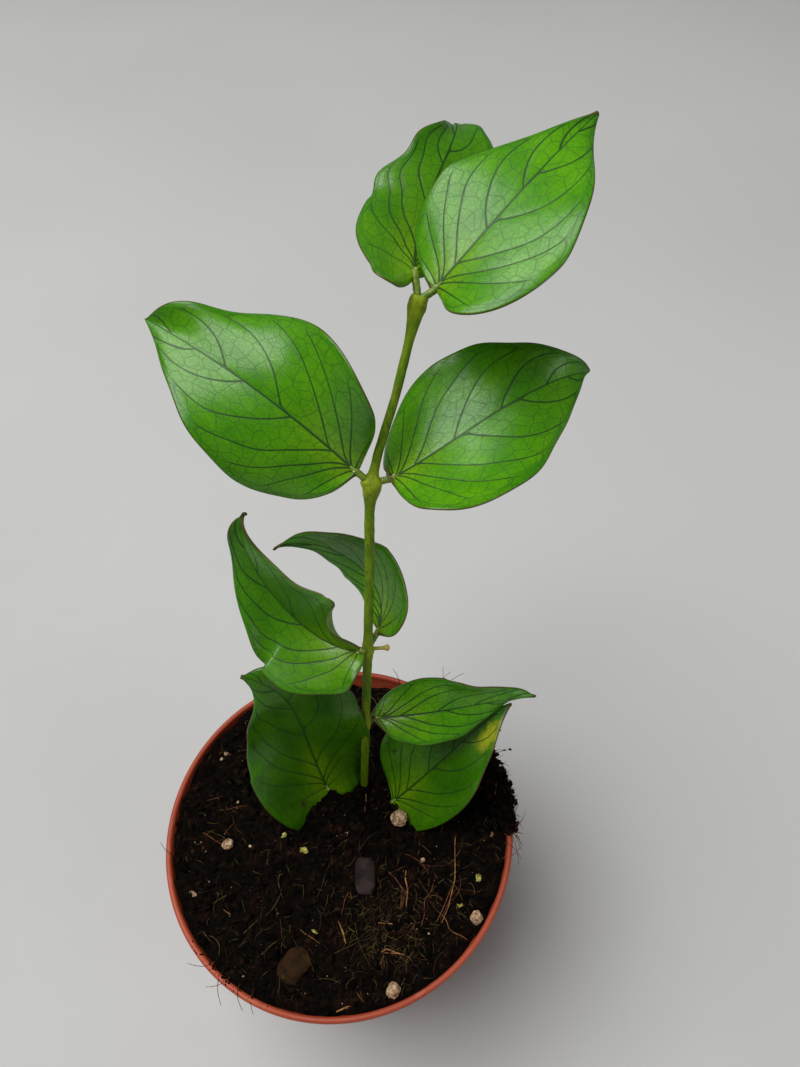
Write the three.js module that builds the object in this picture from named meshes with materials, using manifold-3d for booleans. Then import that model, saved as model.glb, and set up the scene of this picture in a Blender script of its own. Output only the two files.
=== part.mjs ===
import * as THREE from "three";
import * as BufferGeometryUtils from "three/addons/utils/BufferGeometryUtils.js";
import Module from "manifold-3d";

// Potted fishtail hoya: a young plant with nine leaves in a round plastic nursery pot.
// Millimetres, Z up, X to the right, Y away from the viewer.
// The middle of the pot's base, where it rests, is at the origin.

// Pot
const RIM_RADIUS = 60;
const POT_HEIGHT = 95;
const WALL = 1.4;
const BASE_RADIUS = 42.5;
const SHOULDER_RADIUS = 56;
const SHOULDER_HEIGHT = 84;
const COLLAR_RADIUS = 58.6;
const LIP_WIDTH = 2;
const LIP_ROUND = 0.7;
const FOOT_WIDTH = 3.5;
const REST_DISC_RADIUS = 20;
const GALLERY_RISE = 2.5;
const DRAIN_HOLES = 8;
const DRAIN_RADIUS = 4;
const DRAIN_RING = 29.5;
const POT_SECTORS = 56;

// Clear space left between pieces that touch
const SEAT_GAP = 0.3;

// Edges shorter than this are closed up after a cut
const SHORTEST_EDGE = 0.01;

// Soil
const SOIL_LEVEL = 93.2;
const SOIL_BOTTOM = WALL + GALLERY_RISE + SEAT_GAP;
const SOIL_RINGS = 14;
const SOIL_SECTORS = 48;
const SPILL_RADIUS = 59.2;
// Heaps and hollows of the soil: middle on the plan, height and spread
const SOIL_HEAPS = [
  [-2, 6, 8, 12],
  [56, -4, 3.6, 15],
  [-30, -20, 0.6, 16],
  [24, 50, -3.5, 22],
  [30, 4, -3.2, 9],
];

// Stem
const STEM_RADIUS = 1.3;
const STEM_TOP_RADIUS = 1.1;
// The stem grows thinner between these heights
const THIN_FROM = 222;
const THIN_TO = 240;
const STEM_SIDES = 10;
const STEM_STEP = 2;
const STEM_SAMPLES = 900;
const STEM_PATH = [
  [8, 10, 55],
  [11, 10, 87],
  [15.6, 11.2, 142],
  [19.4, 14, 180],
  [23.6, 22, 204],
  [28.4, 32, 227],
  [38.4, 41.7, 246],
  [47.5, 51.4, 264.3],
];
// Height of each node, how much it swells, and how far the swelling reaches below and above
const NODES = [
  { z: 142, swell: 0.35, below: 4, above: 3 },
  { z: 180, swell: 0.45, below: 4.5, above: 2.5 },
  { z: 227, swell: 1.5, below: 3.4, above: 1.4 },
  { z: 263.3, swell: 1.2, below: 4.6, above: 2.5 },
];
const STUB_RADIUS = 0.6;
const STUB_KNOB = 0.95;
const STUB_LENGTH = 5;
// The stub grows from this point of the path
const STUB_KNOT = 3;

// Leaves
const BLADE = 0.8;
const KEEL = 0.9;
const KEEL_REACH = 0.16;
const LEAF_ROWS = 17;
const ACROSS = [0.07, 0.32, 0.64, 1];
const PETIOLE_RADIUS = 0.95;
const PETIOLE_SIDES = 8;
const VEIN_START = 1.35;
const VEIN_BEND = 0.35;
const VEIN_SPREAD = 0.6;
const FOLD_FADE = 0.6;
const DROOP_WIDTH = 20;
const OUTLINE_SPLIT = 0.45;
const BASE_FULLNESS = 0.35;
const TIP_RUN = 0.86;
const SCALLOP_PHASE = 0.8;
const SKY = new THREE.Vector3(-0.16, -0.61, 0.78).normalize();

// Each leaf: base, two bends and tip of its midrib, then pairs for the left and the right half.
// half: half width; widest: where along the midrib; lobe: how far the base sweeps back;
// shoulder and point shape the outline to the tip; turn: roll in degrees at base and tip;
// fold: each half lifted in degrees; wave, phase and waves: ripple of the edge up and down;
// droop: sag across; scallop and scallops: depth and number of the edge's bays;
// stalk: where the leaf's short stalk leaves the stem.
const LEAVES = [
  {
    name: "leaf_top_front",
    midrib: [[51.1, 51, 265.3], [62.8, 51.3, 276.9], [78.3, 59.9, 285.1], [100.5, 76, 287.1]],
    half: [17.6, 20.5], widest: [0.42, 0.36], lobe: [0.01, 0.02], shoulder: [0.16, 0.2], point: [0.14, 0.27],
    turn: [-31, -7], fold: [9, 10], wave: [0.8, 2], phase: [0.22, 0.78], waves: 2.2, droop: 0,
    scallop: 0.1, scallops: 5, stalk: [47.8, 51, 263.6],
  },
  {
    name: "leaf_top_back",
    midrib: [[47.6, 55.4, 267.7], [54.7, 82.5, 266.4], [71.2, 85.5, 285.6], [77.1, 112.4, 272.9]],
    half: [14.3, 14.3], widest: [0.29, 0.57], lobe: [0.19, -0.06], shoulder: [0.17, 0.12], point: [0.1, 0.57],
    turn: [21, 2], fold: [-6, -11], wave: [-2.7, 2.1], phase: [0.34, 0.77], waves: 1.82, droop: -0.29,
    scallop: 0.9, scallops: 6.14, stalk: [47.1, 51.9, 263.9],
  },
  {
    name: "leaf_middle_left",
    midrib: [[25.2, 33.6, 230.2], [14, 43.2, 243.4], [-0.2, 57.2, 253.2], [-16, 79.2, 253.9]],
    half: [21, 21], widest: [0.35, 0.39], lobe: [-0.01, -0.05], shoulder: [0.3, 0.34], point: [0.28, 0.3],
    turn: [-34, 25], fold: [9, 14], wave: [1.7, 4.8], phase: [0.01, 0.51], waves: 2, droop: 0.3,
    scallop: 0.25, scallops: 5.4, stalk: [28, 31.8, 226.8],
  },
  {
    name: "leaf_middle_right",
    midrib: [[33.3, 31.2, 227.5], [47.8, 33, 230], [69.9, 34.5, 247.9], [90, 41.9, 237.8]],
    half: [19.4, 20.7], widest: [0.43, 0.3], lobe: [0.01, 0.03], shoulder: [0.29, 0.36], point: [0.32, 0.29],
    turn: [-44, 19], fold: [0, 12], wave: [1.9, 1.3], phase: [0.25, 0.37], waves: 2.2, droop: 0.2,
    scallop: 0.25, scallops: 5.8, stalk: [28.6, 32, 226.8],
  },
  {
    name: "leaf_low_left",
    midrib: [[17.4, 12.5, 182.6], [3.8, 23, 170.7], [-12, 42, 203.8], [-4.4, 44, 214]],
    half: [17, 21.4], widest: [0.35, 0.4], lobe: [-0.01, 0.01], shoulder: [-0.1, 0.01], point: [0.14, 0.01],
    turn: [-9, -30], fold: [20, 48], wave: [1.5, -0.4], phase: [0.52, -0.05], waves: 4.2, droop: -0.6,
    scallop: 0.5, scallops: 6, stalk: [19.2, 14, 180.4],
  },
  {
    name: "leaf_low_back",
    midrib: [[23, 16.5, 182.8], [35, 32.9, 181.3], [18.8, 53.7, 188.7], [1, 57, 180.4]],
    half: [7, 13.4], widest: [0.52, 0.33], lobe: [-0.09, 0.04], shoulder: [0.09, 0.13], point: [0.1, 0.16],
    turn: [-37, -47], fold: [11, 15], wave: [0, 1.1], phase: [0.55, 0.38], waves: 2.8, droop: -0.2,
    scallop: 0.35, scallops: 5.2, stalk: [19.6, 14.2, 180.6],
  },
  {
    name: "leaf_small_right",
    midrib: [[18.6, 12, 141.6], [37.4, 5, 144.8], [56, 3.5, 149.6], [69.2, 2.5, 143.6]],
    half: [11.4, 10.1], widest: [0.42, 0.33], lobe: [-0.01, -0.06], shoulder: [0.07, 0.16], point: [0.08, 0.08],
    turn: [-22, 64], fold: [9, 5], wave: [2.4, -1.3], phase: [0.27, 0.73], waves: 1.75, droop: 0.3,
    scallop: 0.2, scallops: 6.1, stalk: [15.7, 11.2, 141],
  },
  {
    name: "leaf_base_left",
    midrib: [[-1, 10.5, 101.6], [-5.7, 18.8, 140.3], [-0.5, 15.5, 163.6], [-17, 23.4, 168.4]],
    half: [21.2, 20.5], widest: [0.26, 0.51], lobe: [0.16, 0.12], shoulder: [0.01, 0.1], point: [0.42, 0.29],
    turn: [15, -31], fold: [24, 4], wave: [1.3, -1.9], phase: [0, 0.45], waves: 3.1, droop: -0.3,
    scallop: 0.26, scallops: 6.1, stalk: [6.5, 10.5, 84],
  },
  {
    name: "leaf_base_right",
    midrib: [[19.9, 2.8, 92], [34, 1.6, 109.2], [44.4, 0.5, 134.7], [61.3, 3.3, 142.5]],
    half: [19.4, 17], widest: [0.3, 0.48], lobe: [-0.1, 0.06], shoulder: [-0.01, 0.22], point: [0.14, 0.29],
    turn: [-19, -54], fold: [9, 7], wave: [0, 0.3], phase: [0.05, 0.47], waves: 3, droop: -0.75,
    scallop: 0.1, scallops: 6, stalk: [13.5, 7.5, 80],
  },
];

// Loose grains bedded in the soil: centre on the plan, three radii, sink below the surface, turn
const GRAINS = [
  { name: "perlite_middle", at: [20.2, -4.6], size: [2.9, 2.8, 2.7], sink: 0.6, turn: 10, seed: 3 },
  { name: "perlite_front", at: [3.4, -54.4], size: [2.3, 2.1, 2], sink: 0.8, turn: 40, seed: 5 },
  { name: "perlite_right", at: [35, -42.5], size: [2.1, 1.9, 1.8], sink: 0.8, turn: 70, seed: 8 },
  { name: "perlite_left", at: [-38.5, 4.5], size: [2, 1.7, 1.6], sink: 0.7, turn: 25, seed: 9 },
  { name: "pebble", at: [-24.5, -38.5], size: [5.6, 4.6, 2.8], sink: 1.6, turn: 30, seed: 11 },
  { name: "bark_chip", at: [4, -19.3], size: [3.2, 5.4, 1.7], sink: 0.9, turn: -16, seed: 14 },
];

// Below 1 the chip's ball is drawn out towards a box
const CHIP_SQUARENESS = 0.4;

const wasm = await Module();
wasm.setup();

const vec = (p) => new THREE.Vector3(p[0], p[1], p[2]);
const rad = THREE.MathUtils.degToRad;

// Closed shell from plain points and triangles
function shell(points, triangles) {
  const geometry = new THREE.BufferGeometry();
  const flat = points.flatMap((p) => [p.x, p.y, p.z]);
  geometry.setAttribute("position", new THREE.Float32BufferAttribute(flat, 3));
  geometry.setIndex(triangles.flat());
  return geometry;
}

function toSolid(geometry) {
  const bare = geometry.clone();
  bare.deleteAttribute("normal");
  bare.deleteAttribute("uv");
  const merged = BufferGeometryUtils.mergeVertices(bare, 1e-4);
  return new wasm.Manifold(new wasm.Mesh({
    numProp: 3,
    vertProperties: new Float32Array(merged.attributes.position.array),
    triVerts: new Uint32Array(merged.index.array),
  }));
}

function toGeometry(solid) {
  const mesh = solid.simplify(SHORTEST_EDGE).getMesh();
  const stride = mesh.numProp;
  const flat = [];
  for (let i = 0; i < mesh.vertProperties.length; i += stride) {
    flat.push(mesh.vertProperties[i], mesh.vertProperties[i + 1], mesh.vertProperties[i + 2]);
  }
  const geometry = new THREE.BufferGeometry();
  geometry.setAttribute("position", new THREE.Float32BufferAttribute(flat, 3));
  geometry.setIndex(Array.from(mesh.triVerts));
  return geometry;
}

// A cut can leave a crumb behind, so the largest body is kept
function largest(solid) {
  const bodies = solid.decompose();
  return bodies.reduce((a, b) => (b.volume() > a.volume() ? b : a));
}

// Solid of revolution about the pot's axis from a closed profile of radius and height
function turned(profile, sectors) {
  const cross = new wasm.CrossSection([profile]);
  return cross.revolve(sectors);
}

// Inner face of the pot's wall at a height
function innerRadius(z) {
  const outer = BASE_RADIUS + ((SHOULDER_RADIUS - BASE_RADIUS) * z) / SHOULDER_HEIGHT;
  return outer - WALL;
}

function makePot() {
  const floorTop = WALL + GALLERY_RISE;
  const lipInner = RIM_RADIUS - LIP_WIDTH;
  const footInner = BASE_RADIUS - FOOT_WIDTH;
  const profile = [
    [0, 0],
    [REST_DISC_RADIUS, 0],
    [REST_DISC_RADIUS + GALLERY_RISE, GALLERY_RISE],
    [footInner - GALLERY_RISE, GALLERY_RISE],
    [footInner, 0],
    [BASE_RADIUS - 1, 0],
    [BASE_RADIUS, 1],
    [SHOULDER_RADIUS, SHOULDER_HEIGHT],
    [COLLAR_RADIUS, SHOULDER_HEIGHT + 1],
    [RIM_RADIUS - 0.4, POT_HEIGHT - 2],
    [RIM_RADIUS, POT_HEIGHT - LIP_ROUND - 0.4],
    [RIM_RADIUS - LIP_ROUND / 2, POT_HEIGHT - LIP_ROUND / 3],
    [RIM_RADIUS - LIP_WIDTH / 2, POT_HEIGHT],
    [lipInner + LIP_ROUND / 2, POT_HEIGHT - LIP_ROUND / 3],
    [lipInner, POT_HEIGHT - LIP_ROUND - 0.4],
    [innerRadius(SHOULDER_HEIGHT), SHOULDER_HEIGHT],
    [innerRadius(floorTop + 2), floorTop + 2],
    [innerRadius(floorTop) - 1.5, floorTop],
    [0, floorTop],
  ];
  let pot = turned(profile, POT_SECTORS);
  for (let i = 0; i < DRAIN_HOLES; i += 1) {
    const turn = (360 * (i + 0.5)) / DRAIN_HOLES;
    const hole = wasm.Manifold.cylinder(4 * floorTop, DRAIN_RADIUS, DRAIN_RADIUS, 20, true)
      .translate([DRAIN_RING, 0, 0])
      .rotate([0, 0, turn]);
    pot = pot.subtract(hole);
  }
  return pot;
}

// A round bump on the soil
function heap(x, y, cx, cy, height, spread) {
  const d2 = (x - cx) ** 2 + (y - cy) ** 2;
  return height * Math.exp(-d2 / (spread * spread));
}

// Height of the soil's surface
function soilHeight(x, y) {
  let z = SOIL_LEVEL;
  for (const [cx, cy, height, spread] of SOIL_HEAPS) {
    z += heap(x, y, cx, cy, height, spread);
  }
  z += 0.7 * Math.sin(0.31 * x + 0.17 * y) * Math.cos(0.27 * y - 0.11 * x + 1.3);
  z += 0.45 * Math.sin(0.74 * x - 0.52 * y + 0.6) * Math.cos(0.63 * y + 0.38 * x);
  return z;
}

// Block under the soil's surface, a polar grid wider than the pot
function soilBlock() {
  const reach = RIM_RADIUS + 5;
  const points = [new THREE.Vector3(0, 0, soilHeight(0, 0)), new THREE.Vector3(0, 0, 0)];
  const at = (ring, sector) => 2 + (ring * SOIL_SECTORS + (sector % SOIL_SECTORS));
  for (let ring = 0; ring < SOIL_RINGS; ring += 1) {
    const r = (reach * (ring + 1)) / SOIL_RINGS;
    for (let sector = 0; sector < SOIL_SECTORS; sector += 1) {
      const a = (2 * Math.PI * sector) / SOIL_SECTORS;
      const x = r * Math.cos(a);
      const y = r * Math.sin(a);
      points.push(new THREE.Vector3(x, y, soilHeight(x, y)));
    }
  }
  const low = points.length;
  for (let sector = 0; sector < SOIL_SECTORS; sector += 1) {
    const a = (2 * Math.PI * sector) / SOIL_SECTORS;
    points.push(new THREE.Vector3(reach * Math.cos(a), reach * Math.sin(a), 0));
  }
  const triangles = [];
  for (let sector = 0; sector < SOIL_SECTORS; sector += 1) {
    const next = (sector + 1) % SOIL_SECTORS;
    triangles.push([0, at(0, sector), at(0, next)]);
    for (let ring = 0; ring + 1 < SOIL_RINGS; ring += 1) {
      triangles.push([at(ring, sector), at(ring + 1, sector), at(ring + 1, next)]);
      triangles.push([at(ring, sector), at(ring + 1, next), at(ring, next)]);
    }
    const edge = SOIL_RINGS - 1;
    triangles.push([at(edge, sector), low + sector, low + next]);
    triangles.push([at(edge, sector), low + next, at(edge, next)]);
    triangles.push([1, low + next, low + sector]);
  }
  return toSolid(shell(points, triangles));
}

// What the pot can hold, with the clear gap, and the thin spill that lies over the lip
function soilPlug() {
  const top = POT_HEIGHT + SEAT_GAP;
  const lipInner = RIM_RADIUS - LIP_WIDTH - SEAT_GAP;
  const profile = [
    [0, SOIL_BOTTOM],
    [innerRadius(SOIL_BOTTOM) - 2, SOIL_BOTTOM],
    [innerRadius(SOIL_BOTTOM + 2) - SEAT_GAP, SOIL_BOTTOM + 2],
    [innerRadius(SHOULDER_HEIGHT) - SEAT_GAP, SHOULDER_HEIGHT],
    [lipInner, POT_HEIGHT - LIP_ROUND - 0.4],
    [lipInner, top],
    [SPILL_RADIUS, top],
    [SPILL_RADIUS, top + 20],
    [0, top + 20],
  ];
  return turned(profile, POT_SECTORS);
}

// Smooth curve through the stem's points; u runs from 0 to 1
function stemPoint(u) {
  const last = STEM_PATH.length - 1;
  const i = Math.min(Math.floor(u * last), last - 1);
  const t = u * last - i;
  const p = [i - 1, i, i + 1, i + 2].map((k) => vec(STEM_PATH[Math.max(0, Math.min(last, k))]));
  const a = p[1].clone().multiplyScalar(2);
  const b = p[2].clone().sub(p[0]).multiplyScalar(t);
  const c = p[0].clone().multiplyScalar(2).addScaledVector(p[1], -5).addScaledVector(p[2], 4)
    .sub(p[3]).multiplyScalar(t * t);
  const d = p[1].clone().multiplyScalar(3).addScaledVector(p[2], -3).add(p[3]).sub(p[0])
    .multiplyScalar(t * t * t);
  return a.add(b).add(c).add(d).multiplyScalar(0.5);
}

function stemRadius(z) {
  const thin = THREE.MathUtils.smoothstep(z, THIN_FROM, THIN_TO);
  let r = STEM_RADIUS + (STEM_TOP_RADIUS - STEM_RADIUS) * thin;
  for (const node of NODES) {
    const reach = z < node.z ? node.below : node.above;
    r += node.swell * Math.exp(-(((z - node.z) / reach) ** 2));
  }
  return r;
}

// Round rod through a list of points, each with its own radius, closed at both ends
function rod(path, radii, sides) {
  const points = [];
  const triangles = [];
  const side = new THREE.Vector3(1, 0, 0);
  path.forEach((p, i) => {
    const ahead = path[Math.min(i + 1, path.length - 1)].clone();
    const along = ahead.sub(path[Math.max(i - 1, 0)]).normalize();
    side.addScaledVector(along, -side.dot(along)).normalize();
    const across = new THREE.Vector3().crossVectors(along, side);
    for (let k = 0; k < sides; k += 1) {
      const a = (2 * Math.PI * k) / sides;
      points.push(p.clone()
        .addScaledVector(side, radii[i] * Math.cos(a))
        .addScaledVector(across, radii[i] * Math.sin(a)));
    }
  });
  const end = (path.length - 1) * sides;
  const first = points.push(path[0].clone()) - 1;
  const final = points.push(path[path.length - 1].clone()) - 1;
  for (let k = 0; k < sides; k += 1) {
    const n = (k + 1) % sides;
    triangles.push([first, n, k]);
    triangles.push([final, end + k, end + n]);
    for (let i = 0; i < end; i += sides) {
      triangles.push([i + k, i + n, i + sides + n]);
      triangles.push([i + k, i + sides + n, i + sides + k]);
    }
  }
  return toSolid(shell(points, triangles));
}

// Points evenly spaced along the stem
function stemLine() {
  const fine = [];
  for (let i = 0; i <= STEM_SAMPLES; i += 1) {
    fine.push(stemPoint(i / STEM_SAMPLES));
  }
  const run = [0];
  for (let i = 1; i < fine.length; i += 1) {
    run.push(run[i - 1] + fine[i].distanceTo(fine[i - 1]));
  }
  const rows = Math.round(run[STEM_SAMPLES] / STEM_STEP);
  const line = [];
  for (let row = 0; row <= rows; row += 1) {
    const reach = (run[STEM_SAMPLES] * row) / rows;
    line.push(fine[run.findIndex((d) => d >= reach - 1e-9)]);
  }
  return line;
}

// The stem, made thicker by a margin when it serves to clear its surroundings
function stemRod(margin) {
  const path = stemLine();
  const radii = path.map((p) => stemRadius(p.z) + margin);
  const top = path[path.length - 1];
  top.addScaledVector(top.clone().sub(path[path.length - 2]).normalize(), margin);
  return rod(path, radii, STEM_SIDES);
}

// Dry stub of a flower stalk at the second node from below
function stub() {
  const node = stemPoint(STUB_KNOT / (STEM_PATH.length - 1));
  const out = new THREE.Vector3(0.93, -0.32, 0.16).normalize();
  const reach = [0, STUB_LENGTH - 0.8, STUB_LENGTH - 0.2, STUB_LENGTH + 0.6];
  const path = reach.map((d) => node.clone().addScaledVector(out, d + STEM_RADIUS * 0.5));
  return rod(path, [STUB_RADIUS, STUB_RADIUS, STUB_KNOB, STUB_KNOB * 0.6], PETIOLE_SIDES);
}

function makeStem() {
  return stemRod(0).add(stub());
}

function bezier(p, t) {
  const s = 1 - t;
  return p[0].clone().multiplyScalar(s * s * s)
    .addScaledVector(p[1], 3 * s * s * t)
    .addScaledVector(p[2], 3 * s * t * t)
    .addScaledVector(p[3], t * t * t);
}

function bezierSlope(p, t) {
  const s = 1 - t;
  return p[1].clone().sub(p[0]).multiplyScalar(3 * s * s)
    .addScaledVector(p[2].clone().sub(p[1]), 6 * s * t)
    .addScaledVector(p[3].clone().sub(p[2]), 3 * t * t);
}

function cubic(a, b, c, d, t) {
  const s = 1 - t;
  return s * s * s * a + 3 * s * s * t * b + 3 * s * t * t * c + t * t * t * d;
}

// Edge of one half of a blade: how far along the midrib, and how far out
function outline(leaf, h, s) {
  const w = leaf.half[h];
  const wide = leaf.widest[h];
  const lobe = leaf.lobe[h];
  let along;
  let out;
  if (s < OUTLINE_SPLIT) {
    const a = s / OUTLINE_SPLIT;
    along = cubic(0, -lobe, -0.9 * lobe, wide, a);
    out = cubic(0, BASE_FULLNESS * w, w, w, a);
  } else {
    const b = (s - OUTLINE_SPLIT) / (1 - OUTLINE_SPLIT);
    along = cubic(wide, wide + leaf.shoulder[h], TIP_RUN, 1, b);
    out = cubic(w, w, leaf.point[h] * w, 0, b);
  }
  const ripple = Math.sin(2 * Math.PI * (leaf.scallops * s + SCALLOP_PHASE)) * Math.sin(Math.PI * s);
  return [along, out + leaf.scallop * ripple];
}

// Point of a blade's middle surface: s along the edge from base to tip, t out from the midrib
function bladePoint(leaf, h, s, t) {
  const p = leaf.midrib.map(vec);
  const [alongEdge, outEdge] = outline(leaf, h, s);
  const start = s ** VEIN_START;
  const bend = start + VEIN_BEND * (alongEdge - start);
  const u = (1 - t) * (1 - t) * start + 2 * (1 - t) * t * bend + t * t * alongEdge;
  const v = 2 * (1 - t) * t * VEIN_SPREAD * outEdge + t * t * outEdge;
  const c = THREE.MathUtils.clamp(u, 0, 1);
  const origin = bezier(p, c).addScaledVector(p[1].clone().sub(p[0]), 3 * Math.min(u, 0));
  const along = bezierSlope(p, c).normalize();
  const up = SKY.clone().addScaledVector(along, -SKY.dot(along)).normalize();
  const left = new THREE.Vector3().crossVectors(up, along);
  const roll = rad(leaf.turn[0] + (leaf.turn[1] - leaf.turn[0]) * c);
  const side = left.clone().multiplyScalar(Math.cos(roll)).addScaledVector(up, Math.sin(roll));
  const face = up.clone().multiplyScalar(Math.cos(roll)).addScaledVector(left, -Math.sin(roll));
  const lift = rad(leaf.fold[h]) * (1 - FOLD_FADE * c);
  const sign = h === 0 ? 1 : -1;
  const ripple = Math.sin(2 * Math.PI * (leaf.waves * s + leaf.phase[h]));
  const height = t * t * leaf.wave[h] * ripple - leaf.droop * (v / DROOP_WIDTH) ** 2;
  return origin
    .addScaledVector(side, sign * v * Math.cos(lift))
    .addScaledVector(face, v * Math.sin(lift) + height);
}

// Blade as one closed shell, alike on both faces, with a keel under the midrib
function bladeSolid(leaf, margin) {
  const columns = [...ACROSS.map((t) => -t).reverse(), 0, ...ACROSS];
  const half = ACROSS.length;
  const rows = [[bladePoint(leaf, 0, 0, 0)]];
  for (let i = 1; i < LEAF_ROWS; i += 1) {
    const s = i / LEAF_ROWS;
    rows.push(columns.map((t) => bladePoint(leaf, t > 0 ? 0 : 1, s, Math.abs(t))));
  }
  rows.push([bladePoint(leaf, 0, 1, 0)]);
  for (const row of rows.slice(1, -1)) {
    const first = row[0].clone().sub(row[1]).normalize();
    const last = row[2 * half].clone().sub(row[2 * half - 1]).normalize();
    row[0].addScaledVector(first, 2 * margin);
    row[2 * half].addScaledVector(last, 2 * margin);
  }
  const pick = (i, j) => rows[i][rows[i].length === 1 ? 0 : j];
  const normals = rows.map((row, i) => row.map((_, j) => {
    const k = row.length === 1 ? half : j;
    const ahead = pick(Math.min(i + 1, LEAF_ROWS), k).clone().sub(pick(Math.max(i - 1, 0), k));
    const wideRow = Math.min(Math.max(i, 1), LEAF_ROWS - 1);
    const across = pick(wideRow, Math.min(k + 1, 2 * half)).clone()
      .sub(pick(wideRow, Math.max(k - 1, 0)));
    return new THREE.Vector3().crossVectors(ahead, across).normalize();
  }));
  const points = [];
  const index = { top: [], under: [] };
  for (const face of ["top", "under"]) {
    rows.forEach((row, i) => {
      index[face].push(row.map((p, j) => {
        const t = row.length === 1 ? 0 : Math.abs(columns[j]);
        const near = Math.exp(-((t / KEEL_REACH) ** 2));
        const keel = face === "under" && i > 0 ? KEEL * near * (1 - i / LEAF_ROWS) : 0;
        const shift = face === "top" ? BLADE / 2 + margin : -BLADE / 2 - keel - margin;
        return points.push(p.clone().addScaledVector(normals[i][j], shift)) - 1;
      }));
    });
  }
  const triangles = [];
  const pane = (face, a, b, c) => {
    triangles.push(face === "top" ? [a, b, c] : [a, c, b]);
  };
  for (const face of ["top", "under"]) {
    const g = index[face];
    for (let j = 0; j < 2 * half; j += 1) {
      pane(face, g[0][0], g[1][j], g[1][j + 1]);
      for (let i = 1; i + 1 < LEAF_ROWS; i += 1) {
        pane(face, g[i][j], g[i + 1][j], g[i + 1][j + 1]);
        pane(face, g[i][j], g[i + 1][j + 1], g[i][j + 1]);
      }
      pane(face, g[LEAF_ROWS - 1][j], g[LEAF_ROWS][0], g[LEAF_ROWS - 1][j + 1]);
    }
  }
  const rim = (j) => index.top.map((row, i) => {
    const k = row.length === 1 ? 0 : j;
    return [index.top[i][k], index.under[i][k]];
  });
  const right = rim(0);
  const left = rim(2 * half);
  for (let i = 0; i < LEAF_ROWS; i += 1) {
    triangles.push([right[i][0], right[i][1], right[i + 1][1]]);
    triangles.push([right[i][0], right[i + 1][1], right[i + 1][0]]);
    triangles.push([left[i][0], left[i + 1][1], left[i][1]]);
    triangles.push([left[i][0], left[i + 1][0], left[i + 1][1]]);
  }
  return toSolid(shell(points, triangles));
}

// Short stalk from the stem's node into the blade's base
function petiole(leaf, margin) {
  const p = leaf.midrib.map(vec);
  const along = p[1].clone().sub(p[0]).normalize();
  const path = [
    vec(leaf.stalk),
    vec(leaf.stalk).lerp(p[0], 0.5),
    p[0].clone(),
    p[0].clone().addScaledVector(along, 2.5),
  ];
  const radii = [1, 1, 0.95, 0.5].map((k) => k * PETIOLE_RADIUS + margin);
  return rod(path, radii, PETIOLE_SIDES);
}

function leafSolid(leaf, margin) {
  return bladeSolid(leaf, margin).add(petiole(leaf, margin));
}

// Lumpy grain: a ball drawn to three radii, with uneven bumps
function grainSolid(grain, margin) {
  const ball = new THREE.IcosahedronGeometry(1, grain.size[1] > 4 ? 2 : 1);
  ball.deleteAttribute("normal");
  ball.deleteAttribute("uv");
  const merged = BufferGeometryUtils.mergeVertices(ball, 1e-4);
  const place = merged.attributes.position;
  const z = soilHeight(grain.at[0], grain.at[1]) + grain.size[2] - grain.sink;
  const flat = grain.name === "bark_chip";
  for (let i = 0; i < place.count; i += 1) {
    const p = new THREE.Vector3().fromBufferAttribute(place, i);
    const bump = 1 + 0.07 * Math.sin(3.1 * p.x + grain.seed) * Math.cos(2.7 * p.y + 2 * grain.seed)
      + 0.05 * Math.sin(5.3 * p.z + 4.1 * p.x + grain.seed);
    if (flat) {
      p.set(...p.toArray().map((k) => Math.sign(k) * Math.abs(k) ** CHIP_SQUARENESS));
    }
    p.multiply(vec(grain.size)).multiplyScalar(bump);
    p.addScaledVector(p.clone().normalize(), margin);
    p.applyAxisAngle(new THREE.Vector3(0, 0, 1), rad(grain.turn));
    p.add(new THREE.Vector3(grain.at[0], grain.at[1], z));
    place.setXYZ(i, p.x, p.y, p.z);
  }
  return toSolid(merged);
}

// The soil fills the pot and leaves room round the stem, the buried leaf bases and the grains
function makeSoil() {
  let soil = soilPlug().intersect(soilBlock());
  soil = soil.subtract(stemRod(SEAT_GAP));
  for (const leaf of LEAVES.filter((l) => l.name.startsWith("leaf_base"))) {
    soil = soil.subtract(leafSolid(leaf, SEAT_GAP));
  }
  for (const grain of GRAINS) {
    soil = soil.subtract(grainSolid(grain, SEAT_GAP));
  }
  return largest(soil);
}

function makeLeaf(leaf) {
  return largest(leafSolid(leaf, 0).subtract(stemRod(SEAT_GAP)));
}

const material = (color, roughness) => new THREE.MeshStandardMaterial({ color, roughness });
const POT_PLASTIC = material("#aa4a2e", 0.45);
const PEAT = material("#1e1712", 0.95);
const STEM_GREEN = material("#6f7f2a", 0.6);
const LEAF_GREEN = material("#4a8a1e", 0.4);
const PERLITE = material("#cbbda4", 0.9);
const PEBBLE = material("#5a3a22", 0.8);
const BARK = material("#2e2228", 0.85);

const group = new THREE.Group();
group.name = "potted_fishtail_hoya";

function addPiece(name, solid, paint) {
  const mesh = new THREE.Mesh(toGeometry(solid), paint);
  mesh.name = name;
  group.add(mesh);
}

function grainPaint(name) {
  if (name === "pebble") {
    return PEBBLE;
  }
  return name === "bark_chip" ? BARK : PERLITE;
}

addPiece("pot", makePot(), POT_PLASTIC);
addPiece("soil", makeSoil(), PEAT);
addPiece("stem", makeStem(), STEM_GREEN);
for (const leaf of LEAVES) {
  addPiece(leaf.name, makeLeaf(leaf), LEAF_GREEN);
}
for (const grain of GRAINS) {
  addPiece(grain.name, grainSolid(grain, 0), grainPaint(grain.name));
}

export default group;
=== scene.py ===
import math

import bpy
import numpy as np
from mathutils import Matrix, Vector


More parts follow.
